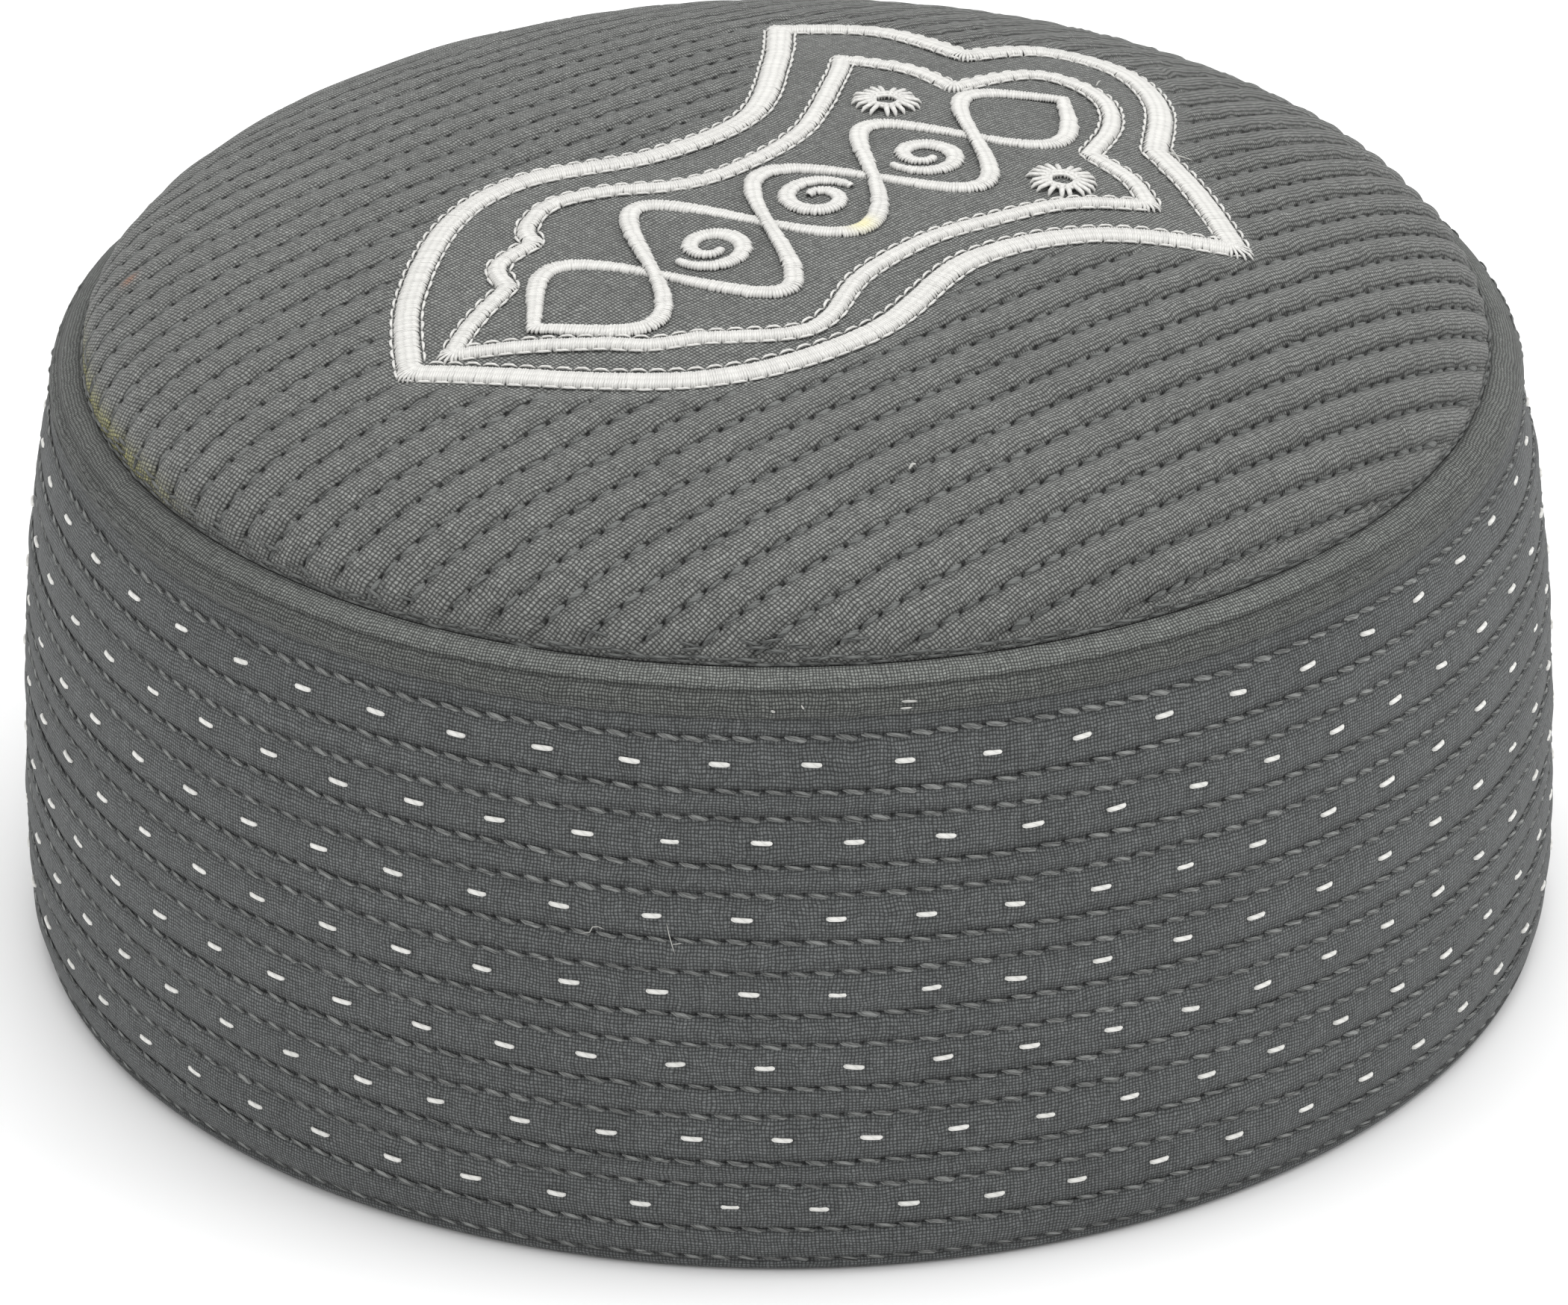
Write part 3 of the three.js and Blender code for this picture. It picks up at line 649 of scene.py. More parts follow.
def crown_stain(u, v):
    """Where the olive stain along the left of the seam and the brown speck lie."""
    around = np.degrees(np.arctan2(v, u)) % 360
    inset = DISC_RADIUS - np.hypot(u, v)
    olive = np.exp(-(((around - STAIN_MIDDLE) / STAIN_HALF) ** 4)) * np.exp(-(((inset - 0.8) / 1.7) ** 2))
    brown = np.exp(-(((u - SPECK[0]) ** 2 + (v - SPECK[1]) ** 2) / 0.9))
    return np.stack([olive, 0.9 * brown, 0 * u], -1)


def line_ends(offsets):
    """Where the lines at these offsets cross the edge of the disc, on the left and on the right."""
    scan = np.linspace(-1, 1, 401)[None] * DISC_RADIUS
    reach = np.hypot(scan, row_v(scan, offsets[:, None]))
    inside = scan[0][reach.argmin(1)]
    ends = []
    for outside in (-DISC_RADIUS, DISC_RADIUS):
        near, far = inside.copy(), np.full(len(offsets), float(outside))
        for _ in range(HALVINGS):
            middle = (near + far) / 2
            beyond = np.hypot(middle, row_v(middle, offsets)) > DISC_RADIUS
            far = np.where(beyond, middle, far)
            near = np.where(beyond, near, middle)
        ends.append(near)
    return ends


def crown_piece():
    around = np.radians(np.arange(0, 360, 0.25))
    edge_u, edge_v = DISC_RADIUS * np.cos(around), DISC_RADIUS * np.sin(around)
    touches = row_offset(edge_u, edge_v)
    low, high = touches.argmin(), touches.argmax()
    first = math.ceil((touches[low] - ROW_OFFSET) / ROW_PITCH)
    last = math.floor((touches[high] - ROW_OFFSET) / ROW_PITCH)
    middle = ROW_OFFSET + ROW_PITCH * (np.arange(first, last)[:, None] + ROW_SHARES).ravel()
    middle = middle[(middle > touches[low] + 1.5) & (middle < touches[high] - 1.5)]
    squeeze = (np.arange(1, 9) / 9) ** 2
    offsets = np.concatenate([
        touches[low] + squeeze * (middle[0] - touches[low]),
        middle,
        (touches[high] + squeeze * (middle[-1] - touches[high]))[::-1],
    ])
    left, right = line_ends(offsets)
    points, faces, edges = [], [], []
    marks = {"weave": [], "shade": [], "row": [], "stain": []}
    start = 0
    for steps, outward in ((LINE_POINTS, True), (LINING_POINTS, False)):
        share = np.linspace(0, 1, steps)
        if not outward:
            share = 0.25 * share + 0.75 * (0.5 - 0.5 * np.cos(math.pi * share))
        u = left[:, None] + (right - left)[:, None] * share
        v = row_v(u, offsets[:, None])
        u = np.concatenate([u.ravel(), edge_u[[low, high]]])
        v = np.concatenate([v.ravel(), edge_v[[low, high]]])
        if outward:
            lift, shade, row = quilt_height(u, v)
        else:
            lift, shade, row = np.full(u.shape, -CLOTH), np.zeros(u.shape), np.zeros(u.shape + (3,))
        surface, _ = on_dome(u, v, lift)
        points.append(surface)
        marks["weave"].append(np.stack([*crown_weave(u, v), 0 * u], -1))
        marks["shade"].append(shade)
        marks["row"].append(row)
        marks["stain"].append(crown_stain(u, v) * outward)
        rows = len(offsets)
        faces.append(grid_faces(rows, steps, start=start, flip=not outward))
        tip_low, tip_high = start + rows * steps, start + rows * steps + 1
        k = np.arange(steps - 1)
        fan_low = np.stack([np.full(steps - 1, tip_low), start + k + 1, start + k], -1)
        top = start + (rows - 1) * steps
        fan_high = np.stack([np.full(steps - 1, tip_high), top + k, top + k + 1], -1)
        fans = np.concatenate([fan_low, fan_high])
        faces.append(fans if outward else fans[:, ::-1])
        rights = start + np.arange(rows) * steps + steps - 1
        lefts = start + np.arange(rows)[::-1] * steps
        edges.append(np.concatenate([[tip_low], rights, [tip_high], lefts]))
        start += rows * steps + 2
    outer, inner = edges
    strip = np.stack([np.roll(outer, -1), outer, inner, np.roll(inner, -1)], -1)
    faces.append(strip)
    marks = {key: np.concatenate(values) for key, values in marks.items()}
    piece = make_mesh("crown_quilted_cloth", np.concatenate(points), faces, marks)
    finish_piece(piece, crown_cloth, ["crown"])


crown_piece()

# A quilting stitch, by shares of its length: its width and height in threads, and how it dives into its holes
STITCH_SHARES = np.array([0, 0.08, 0.3, 0.55, 0.8, 0.94, 1])
STITCH_WIDTHS = np.array([0, 0.5, 1.0, 1.2, 1.05, 0.5, 0])
STITCH_HEIGHTS = np.array([0, 0.4, 0.55, 0.6, 0.55, 0.4, 0])
STITCH_RISE = np.array([-0.4, -0.1, 1, 1, 1, 0.1, -0.3])
SEAM_CLEARANCE = 2.2
EMBLEM_CLEARANCE = 0.9


def stitch_lift(arch):
    return np.where(STITCH_RISE > 0, STITCH_RISE * arch, STITCH_RISE)


def stitch_sizes(jitter, thread, count):
    thick = thread * jitter.normal(1, 0.12, (count, 1)).clip(0.7, 1.3)
    return thick * STITCH_WIDTHS, thick * STITCH_HEIGHTS


def crown_stitches():
    """The grey stitches of the crown's quilting rows."""
    batches = []
    jitter = np.random.default_rng(5)
    shares = STITCH_SHARES
    for row in range(-LAST_ROW, LAST_ROW + 1):
        offset = ROW_OFFSET + row * ROW_PITCH
        phase = hole_phase(row)
        ends = row_lengths[row + LAST_ROW, [0, -1]]
        starts = phase + np.arange(*np.ceil((ends - phase) / STITCH_PITCH)) * STITCH_PITCH
        middle = row_place(starts + STITCH_PITCH / 2, row)
        middle_v = row_v(middle, offset)
        clear = emblem_distance(middle, middle_v) > OUTER_WIDTH / 2 + EMBLEM_CLEARANCE
        inside = np.hypot(middle, middle_v) < DISC_RADIUS - SEAM_CLEARANCE
        starts = starts[inside & clear]
        if not len(starts):
            continue
        n = len(starts)
        u = row_place(starts[:, None] + shares * STITCH_PITCH, row)
        slope = np.arctan(row_slope(u, offset))
        slant = (shares - 0.5) * 0.3 + jitter.normal(0, 0.06, (n, 1))
        slant = slant + jitter.normal(0, 0.12, (n, 1)) * (shares - 0.5)
        v = row_v(u, offset) + slant * np.cos(slope)
        u = u - slant * np.sin(slope)
        arch = 0.02 + 0.12 * smoothstep(u, -60, 0) - 0.08 * smoothstep(u, 20, 70)
        lift = CREST - row_depth(u) + stitch_lift(arch + jitter.normal(0, 0.03, (n, 1)))
        edge = smoothstep(DISC_RADIUS - np.hypot(u, v), 0.3, SEAM_FLAT + 1.5)
        batches.append((*on_dome(u, v, lift * edge), *stitch_sizes(jitter, THREAD, n)))
    return sewn(*gather(batches), sides=6, seed=1)


thread_piece("crown_row_stitches", crown_stitches(), crown_thread)


# The band

ROUND_COLUMNS = BAND_STITCHES * 4
GROOVE_SHARE = 0.6
HOLE_RISE = 0.14
WIDE_SHARES = (0, 0.06, 0.14, 0.28, 0.5, 0.72, 0.86, 0.94)
NARROW_SHARES = (0, 0.1, 0.25, 0.5, 0.75, 0.9)
grooves = [HEM_HEIGHT, FIRST_ROW]
while BAND_HEIGHT - grooves[-1] > CLOTH / 2:
    grooves.append(grooves[-1] + (WIDE_CHANNEL if len(grooves) % 2 == 0 else NARROW_CHANNEL))
if grooves[-1] > BAND_HEIGHT - CLOTH / 2:
    grooves.pop()
band_rng = np.random.default_rng(21)
groove_waves = band_rng.normal(0, 1, (len(grooves), 4))
groove_phases = band_rng.random((len(grooves), 4)) * 2 * math.pi
stitch_phases = band_rng.random(len(grooves))


def groove_height(i, around):
    """Height of a stitched row of the band, which wanders a little on its way round."""
    waves = sum(groove_waves[i, k] * np.sin((k + 2) * around + groove_phases[i, k]) for k in range(4))
    return grooves[i] + 0.11 * waves * min(1, i)


def from_front(around):
    """Points on a circle at angles from the front, to the right."""
    return np.sin(around), -np.cos(around)


# Angles from the front, in radians, over which what lies beside it fades out again towards the back
BACK_FADE = (2.3, 2.8)
DASH_FADE = (2.2, 2.8)
DASH_DIMPLE = 0.16  # how far a dash's ends pull the cloth in

dash_channels = list(range(1, len(grooves) - 1, 2))[::-1]


def beside_front(around, low, high, fade=DASH_FADE):
    """1 on the right, and 0 in front and at the back. low and high, in degrees, say where it starts."""
    return smoothstep(around, math.radians(low), math.radians(high)) * (1 - smoothstep(around, *fade))


def dash_pull(i, around):
    """How strongly the white dashes of channel i pull the cloth in at this angle."""
    count, first = DASH_ROWS[dash_channels.index(i)]
    step = (around - math.radians(first)) * count / (2 * math.pi)
    off = np.abs(step - np.round(step)) * 2 * math.pi * RIM_RADIUS / count
    return np.exp(-(((off - DASH_LENGTH / 2) / 0.5) ** 2))


def round_weave(rings):
    """The weave's coordinates on a turned cloth: round it from the back, and along its profile."""
    columns = len(rings[0])
    steps = [np.linalg.norm(b - a, axis=1).mean() for a, b in zip(rings, rings[1:])]
    climb = np.repeat(np.concatenate([[0], np.cumsum(steps)]), columns)
    length = np.tile(np.arange(columns) / columns * ROUND_CELLS * WEAVE_PITCH, len(rings))
    return np.stack([length, climb, 0 * climb], -1)


def turned_piece(name, rings, marks):
    """A turned cloth from its rings of equally many points, the last of which joins the first."""
    rows, columns = len(rings), len(rings[0])
    k = np.arange(columns)
    after = (k + 1) % columns
    top = (rows - 1) * columns
    faces = [grid_faces(rows, columns, True), np.stack([top + k, top + after, after, k], -1)]
    marks = {key: np.concatenate(values) for key, values in marks.items()}
    marks = {"weave": round_weave(rings), **marks}
    return make_mesh(name, np.concatenate(rings), faces, marks, ROUND_CELLS * WEAVE_PITCH)


def angles_round(columns):
    """Angles from the front, from one side of the back to the other."""
    return (np.arange(columns) / columns - 0.5) * 2 * math.pi


def band_piece():
    around = angles_round(ROUND_COLUMNS)
    x, y = from_front(around)
    rings, shades, rows_by = [], [], []
    no_row = np.zeros((ROUND_COLUMNS, 3))

    def ring(z, r, shade, row=no_row):
        rings.append(np.stack([r * x, r * y, z + 0 * x], -1))
        shades.append(shade + 0 * x)
        rows_by.append(row)

    drift = 0.12 * np.sin(5 * around + 1) + 0.1 * np.sin(9 * around + 2.2)
    hem_lift = 0.12 * (1 + np.sin(3 * around + 0.5)) / 2
    hem = [(1.7, 0.0, 0.35), (1.0, 0.0, 0.3), (0.45, 0.12, 0.2), (0.12, 0.5, 0.05), (0.02, 1.0, 0)]
    for inset, z, shade in hem:
        ring(z + hem_lift * min(1, z), band_radius(max(z, 0.0)) - inset + 0.2 * drift, shade)
    for i in range(len(grooves)):
        low = groove_height(i, around)
        high = groove_height(i + 1, around) if i + 1 < len(grooves) else np.full(x.shape, BAND_HEIGHT)
        is_wide = i % 2 == 1
        puff = WIDE_PUFF if is_wide else NARROW_PUFF
        steps = WIDE_SHARES if is_wide else NARROW_SHARES
        if i + 1 == len(grooves):
            steps, puff = (0, 0.3, 0.7), 0.3
        for share in steps:
            z = low + (high - low) * share
            swell = abs(math.sin(math.pi * share)) ** 0.65
            soft = 0.09 * np.sin(7 * around + i * 1.9) + 0.07 * np.sin(17 * around + i * 2.7)
            r = band_radius(z) - puff * GROOVE_SHARE * (1 - swell) + (soft + 0.5 * drift) * swell
            shade = 0
            if i in dash_channels:
                pull = dash_pull(i, around) * np.exp(-(((share - 0.5) * (high - low) / 0.8) ** 2))
                r = r - DASH_DIMPLE * pull
                shade = 0.25 * pull
            upper = share > 0.5 and i + 1 < len(grooves)
            step = around * BAND_STITCHES / (2 * math.pi) - stitch_phases[i + upper]
            beside = np.abs(z - (high if upper else low) - HOLE_RISE)
            ring(z, r, shade, np.stack([step, beside, 0 * x + 1], -1))
    ring(BAND_HEIGHT + 0.6, BAND_TOP_RADIUS - 0.05, 0.3)
    ring(BAND_HEIGHT + 1.0, BAND_TOP_RADIUS - 0.5, 0.5)
    for up, _ in reversed(BAND_PROFILE):
        z = up * BAND_HEIGHT
        ring(z, band_radius(z) - CLOTH, 0.1)
    piece = turned_piece("band_quilted_cloth", rings, {"shade": shades, "row": rows_by})
    finish_piece(piece, band_cloth, ["band"])


band_piece()


def wall_lines(around, z, lift):
    """Points that stand lift out from the band's wall at these angles and heights, and the wall's normals."""
    x, y = from_front(around)
    r = band_radius(z)
    slope = band_radius(z + 0.5) - band_radius(z - 0.5)
    n = np.stack([x, y, -slope], -1)
    n /= np.linalg.norm(n, axis=-1, keepdims=True)
    return np.stack([r * x, r * y, z + 0 * x], -1) + n * np.asarray(lift)[..., None], n


def band_stitches():
    """The grey stitches of the band's rows."""
    jitter = np.random.default_rng(8)
    shares, n = STITCH_SHARES, BAND_STITCHES
    batches = []
    for i in range(len(grooves)):
        steps = np.arange(n)[:, None] + stitch_phases[i] + shares + jitter.normal(0, 0.015, (n, 1))
        around = steps / n * 2 * math.pi
        z = groove_height(i, around) + (0.4 - shares) * 0.5 - 0.05 + jitter.normal(0, 0.06, (n, 1))
        deep = 0.3 if i == len(grooves) - 1 else 0.5 * (WIDE_PUFF + NARROW_PUFF)
        lift = stitch_lift(0.16 + jitter.normal(0, 0.03, (n, 1))) - GROOVE_SHARE * deep
        batches.append((*wall_lines(around, z, lift), *stitch_sizes(jitter, BAND_THREAD, n)))
    return sewn(*gather(batches), sides=4, seed=2)


thread_piece("band_row_stitches", band_stitches(), band_thread)

# A white dash, by shares of its length
DASH_SHARES = np.array([0, 0.05, 0.16, 0.38, 0.62, 0.84, 0.95, 1])
DASH_WIDTHS = np.array([0, 0.75, 0.95, 1, 1, 0.95, 0.75, 0])
DASH_HEIGHTS = np.array([0, 0.6, 0.75, 0.75, 0.75, 0.75, 0.6, 0])
TOP_DASHES_RISE = 1.1  # of the top row on the right


def dashes():
    """The white dashes in the middle of the wide channels."""
    jitter = np.random.default_rng(9)
    shares = DASH_SHARES
    batches = []
    for (count, first), i in zip(DASH_ROWS, dash_channels):
        middle = math.radians(first) + np.arange(count) / count * 2 * math.pi
        middle = middle + jitter.normal(0, 0.002, count)
        length = DASH_LENGTH * jitter.normal(1, 0.04, (count, 1))
        around = middle[:, None] + (shares - 0.5) * length / RIM_RADIUS
        tilt = jitter.normal(-0.02, 0.06, (count, 1))
        z = (groove_height(i, around) + groove_height(i + 1, around)) / 2 + (shares - 0.5) * length * tilt
        z = z + jitter.normal(0, 0.12, (count, 1))
        if i == dash_channels[0]:
            z = z + TOP_DASHES_RISE * beside_front(around, 45, 75)
        knots = [0, 0.05, 0.16, 0.5, 0.84, 0.95, 1]
        lift = np.interp(shares, knots, [-0.4, -0.15, 0.02, 0.06, 0.02, -0.15, -0.4])
        sizes = [np.tile(DASH_WIDTH * share, (count, 1)) for share in (DASH_WIDTHS, DASH_HEIGHTS)]
        batches.append((*wall_lines(around, z, lift + 0 * z), *sizes))
    return tubes(*gather(batches), sides=8, seed=3)


thread_piece("band_white_dashes", dashes(), dash_thread)


# The binding over the seam

BINDING_CREASE = 2.6  # height of the roll's foot over the top of the band
BINDING_STEPS = 24
RIDGE_PITCH = 1.45


def binding_piece():
    columns = ROUND_COLUMNS // 2
    around = angles_round(columns)
    x, y = from_front(around)
    low = BAND_HEIGHT + GAP
    rings, shades = [], []
    wave = 0.09 * np.sin(6 * around) + 0.07 * np.sin(13 * around + 1)
    ragged = np.random.default_rng(31).normal(0, 0.05, columns)

    def ring(r, z, shade):
        rings.append(np.stack([r * x, r * y, z + 0 * x], -1))
        shades.append(shade + 0 * x)

    ring(BAND_TOP_RADIUS - 0.3, low - 0.1, 0.6)
    ring(BAND_TOP_RADIUS + 0.22, low - 0.32 + ragged, 0.45)
    right = beside_front(around, 35, 70, BACK_FADE)
    left = beside_front(-around, 30, 60, BACK_FADE)
    flat = np.maximum(right, 0.6 * left)
    for up in np.linspace(0, 1, BINDING_STEPS):
        z = up * BINDING_HEIGHT
        out = float(smooth_share(BINDING_PROFILE, up)) - 0.07 * smoothstep(up, 0.88, 1.0)
        crease = (0.28 - 0.26 * flat) * math.exp(-(((z - BINDING_CREASE) / 0.3) ** 2))
        roll = 0.22 * math.sin(math.pi * max(0.0, z - BINDING_CREASE) / (BINDING_HEIGHT - BINDING_CREASE))
        ridges = 0.1 * left * math.sin(2 * math.pi * z / RIDGE_PITCH) * math.sin(math.pi * up)
        r = CROWN_RADIUS + (BAND_TOP_RADIUS - CROWN_RADIUS) * out - crease + roll * (1 - flat) + ridges
        r = r + wave * math.sin(math.pi * up)
        pressed = 1 - smoothstep(z, BINDING_CREASE, BINDING_CREASE + 0.5)
        creased = math.exp(-(((z - BINDING_CREASE) / 0.35) ** 2)) * (1 - 0.7 * flat)
        shade = 0.3 * pressed + 0.25 * creased + 0.22 * smoothstep(up, 0.92, 1.0)
        shade = shade + (0.22 * right + 0.26 * left) * (1 - pressed) + 0.08 * left
        ring(r, low + z + ragged * (1 - up), shade)
    seat = SEAM_HEIGHT - 0.2
    ring(CROWN_RADIUS - 0.2, seat, 0.5)
    ring(CROWN_RADIUS - CLOTH, seat - 0.1, 0.5)
    ring(BAND_TOP_RADIUS - CLOTH, low, 0.5)
    piece = turned_piece("edge_binding_cloth", rings, {"shade": shades})
    finish_piece(piece, binding_cloth, ["edge_binding"])


binding_piece()


# Where the seam is sewn over unevenly: the middle of each place and half its width, in radians from X
MESSY_PLACES = [(math.radians(215), 0.42), (math.radians(269), 0.1)]
# Lines of stitches on the crown: distance from its edge, how many, their sway, and 1 if only in those places
SEAM_LINES = [(0.35, 190, 0.12, 0), (0.9, 215, 0.2, 0), (1.6, 215, 0.45, 1), (2.4, 215, 0.5, 1)]
BINDING_LINES = [(0.9, 225), (2.05, 225)]  # height over the band's top, and how many


def seam_stitches():
    """Thin uneven stitches along the crown's seam, and two faint lines on the binding's pressed edge."""
    jitter = np.random.default_rng(14)
    shares = np.array([0, 0.1, 0.35, 0.65, 0.9, 1])
    parts = []

    def add(lines, normals, size, chance, seed):
        n = len(lines)
        keep = jitter.random(n) < chance
        thick = size * jitter.normal(1, 0.15, (n, 1)).clip(0.6, 1.4)
        widths = thick * np.array([0, 0.7, 1, 1, 0.7, 0])
        parts.append(tubes(lines[keep], normals[keep], widths[keep], 0.8 * widths[keep], sides=5, seed=seed))

    def arc_steps(count, spread):
        starts = np.arange(count) + jitter.random() + jitter.normal(0, spread, count)
        lengths = 1.15 + jitter.normal(0, 0.1, count)
        return (starts[:, None] + shares * lengths[:, None]) / count * 2 * math.pi

    arch = np.array([-0.3, 0.05, 0.16, 0.16, 0.05, -0.3])
    for inset, count, sway, messy in SEAM_LINES:
        around = arc_steps(count, 0.08)
        reach = DISC_RADIUS - inset + jitter.normal(0, sway, (count, 1))
        reach = reach + jitter.normal(0, sway, (count, 1)) * (shares - 0.5)
        p, n = on_dome(reach * np.cos(around), reach * np.sin(around), arch - 0.12 + 0 * around)
        off = [np.angle(np.exp(1j * (around[:, 0] - middle))) / half for middle, half in MESSY_PLACES]
        chance = 0.9 * np.exp(-np.min(np.square(off), 0)) if messy else 0.9
        add(p, n, 0.38, chance, 90 + count)
    for height, count in BINDING_LINES:
        around = arc_steps(count, 0.05)
        z = BAND_HEIGHT + GAP + height + jitter.normal(0, 0.06, (count, 1)) + 0.12 * (shares - 0.5)
        up = height / BINDING_HEIGHT
        r = CROWN_RADIUS + SHOULDER * float(smooth_share(BINDING_PROFILE, up)) + (arch - 0.12)
        x, y = from_front(around)
        n = np.stack([x, y, np.full(x.shape, 0.4)], -1)
        n /= np.linalg.norm(n, axis=-1, keepdims=True)
        chance = 0.6 * (1 - smoothstep(np.abs(around[:, 0] - math.pi), 2.2, 2.6))
        add(np.stack([r * x, r * y, z + 0 * x], -1), n, 0.28, chance, 95)
    return join(parts)


thread_piece("seam_stitches", seam_stitches(), crown_thread)


# The emblem

SATIN_PITCH = 0.29
SATIN_RISE = 0.62
ORNAMENT_PITCH = 0.34
ORNAMENT_RISE = 0.42
SATIN_SHARES = np.array([-1, -0.93, -0.7, -0.25, 0.25, 0.7, 0.93, 1])  # along one thread, from its middle
SATIN_WIDTHS = np.array([0, 0.7, 1, 1.05, 1.05, 1, 0.7, 0])
SATIN_HEIGHTS = np.array([0, 0.8, 1, 1, 1, 1, 0.8, 0])
RUNNING_PITCH = 2.2
RUNNING_GAP = 0.22  # from the edge of the satin line
RUNNING_WIDTH = 0.36
RUNNING_HEIGHT = 0.28
SHIFT = (0.03, 0.32)  # of the running stitches against their satin line


def satin_threads(line, width, rise, pitch, closed, seed, over=None, swell=None):
    """Threads laid side by side across a line on the crown's flat cloth."""
    jitter = np.random.default_rng(seed)
    path, at = resample(line, pitch, closed)
    count = len(path)
    window = max(1, round(1.1 / pitch))
    step = (np.roll(path, -1, 0) - path) if closed else np.gradient(path, axis=0)
    step /= np.linalg.norm(step, axis=1, keepdims=True) + 1e-9
    mean = np.zeros_like(step)
    for k in range(-window, window):
        mean += np.roll(step, -k, 0) if closed else step[np.clip(np.arange(count) + k, 0, count - 1)]
    mean /= 2 * window
    size = np.linalg.norm(mean, axis=1, keepdims=True)
    mean /= size
    side = np.stack([-mean[:, 1], mean[:, 0]], -1)
    half = width / 2 / np.maximum(size[:, 0], 0.5)
    share = at / at[-1]
    if swell is not None:
        half = half * np.interp(share, np.linspace(0, 1, len(swell)), swell)
    shares = SATIN_SHARES
    ends = jitter.normal(0, 0.06, (count, 2))
    reach = shares * np.where(shares < 0, half[:, None] + ends[:, :1], half[:, None] + ends[:, 1:])
    along = at[:, None]
    lean = 0.03 * np.sin(along * 2.9 + 1.5 * np.sin(along * 0.7) + shares)
    lean = lean + jitter.normal(0, 0.05, (count, 1)) * shares
    u = path[:, :1] + side[:, :1] * reach + mean[:, :1] * lean
    v = path[:, 1:] + side[:, 1:] * reach + mean[:, 1:] * lean
    level = rise * np.interp(np.abs(shares), [0, 0.25, 0.7, 0.93, 1], [1, 0.98, 0.84, 0.3, -0.25])
    bunch = 1 + 0.02 * np.sin(at * 2.9)[:, None] + jitter.normal(0, 0.02, (count, 1))
    lift = level * bunch - FIELD_SINK
    if over is not None:
        lift = lift + np.interp(share, np.linspace(0, 1, len(over)), over)[:, None]
    lines, normals = on_dome(u, v, lift)
    widths = pitch * 1.6 * SATIN_WIDTHS * jitter.normal(1, 0.06, (count, 1))
    heights = np.tile(pitch * 0.9 * SATIN_HEIGHTS, (count, 1))
    return tubes(lines, normals, widths, heights, sides=4, seed=seed)


def running_stitches(line, offset, seed):
    """A row of stitches beside a closed satin line, at this distance to its left."""
    jitter = np.random.default_rng(seed)
    path, _ = resample(line, 0.1, True)
    step = np.roll(path, -3, 0) - np.roll(path, 3, 0)
    step /= np.linalg.norm(step, axis=1, keepdims=True) + 1e-9
    side = np.stack([-step[:, 1], step[:, 0]], -1)
    row, _ = resample(path + side * offset + np.array(SHIFT), RUNNING_PITCH, True)
    direction = np.roll(row, -1, 0) - row
    keep = np.linalg.norm(direction, axis=1) > RUNNING_PITCH * 0.4
    row, direction, count = row[keep], direction[keep], int(keep.sum())
    normal = np.stack([-direction[:, 1], direction[:, 0]], -1)
    normal /= np.linalg.norm(direction, axis=1, keepdims=True) + 1e-9
    shares = np.array([0, 0.06, 0.28, 0.5, 0.72, 0.94, 1])
    bow = np.sign(offset) * (0.16 + jitter.normal(0, 0.04, (count, 1))) * (1 - (2 * shares - 1) ** 2)
    place = row[..., None] + direction[..., None] * (0.04 + 0.92 * shares) + normal[..., None] * bow[:, None]
    u, v = place[:, 0], place[:, 1]
    rise = np.interp(shares, [0, 0.06, 0.28, 0.72, 0.94, 1], [-0.3, 0.05, 0.2, 0.2, 0.05, -0.3])
    lines, normals = on_dome(u, v, -FIELD_SINK + rise + 0.05)
    widths = RUNNING_WIDTH * np.array([0, 0.6, 1, 1.05, 1, 0.6, 0]) * jitter.normal(1, 0.07, (count, 1))
    heights = np.tile(RUNNING_HEIGHT * np.array([0, 0.7, 1, 1, 1, 0.7, 0]), (count, 1))
    return tubes(lines, normals, widths, heights, sides=6, seed=seed)


def emblem_outline(name, line, width, node, seed):
    parts = [satin_threads(line, width, SATIN_RISE, SATIN_PITCH, True, seed)]
    for side in (1, -1):
        parts.append(running_stitches(line, side * (width / 2 + RUNNING_GAP), seed + side))
    thread_piece(name, join(parts), white_thread, [node])


emblem_outline("emblem_outer_satin", outer_line, OUTER_WIDTH - 0.15, "emblem_outer_line", 41)
emblem_outline("emblem_inner_satin", inner_line, INNER_WIDTH - 0.1, "emblem_inner_line", 51)


def twist_place(up, side):
    along = TWIST_START + (TWIST_END - TWIST_START) * up
    swing = side * smooth_share(TWIST_REACH, up) * np.sin(up * TWIST_EYES * math.pi)
    return emblem_place(along, smooth_share(TWIST_ACROSS, up) + swing)


YELLOW_PLACE = (9, -13.4)
TWIST_STEPS = 600


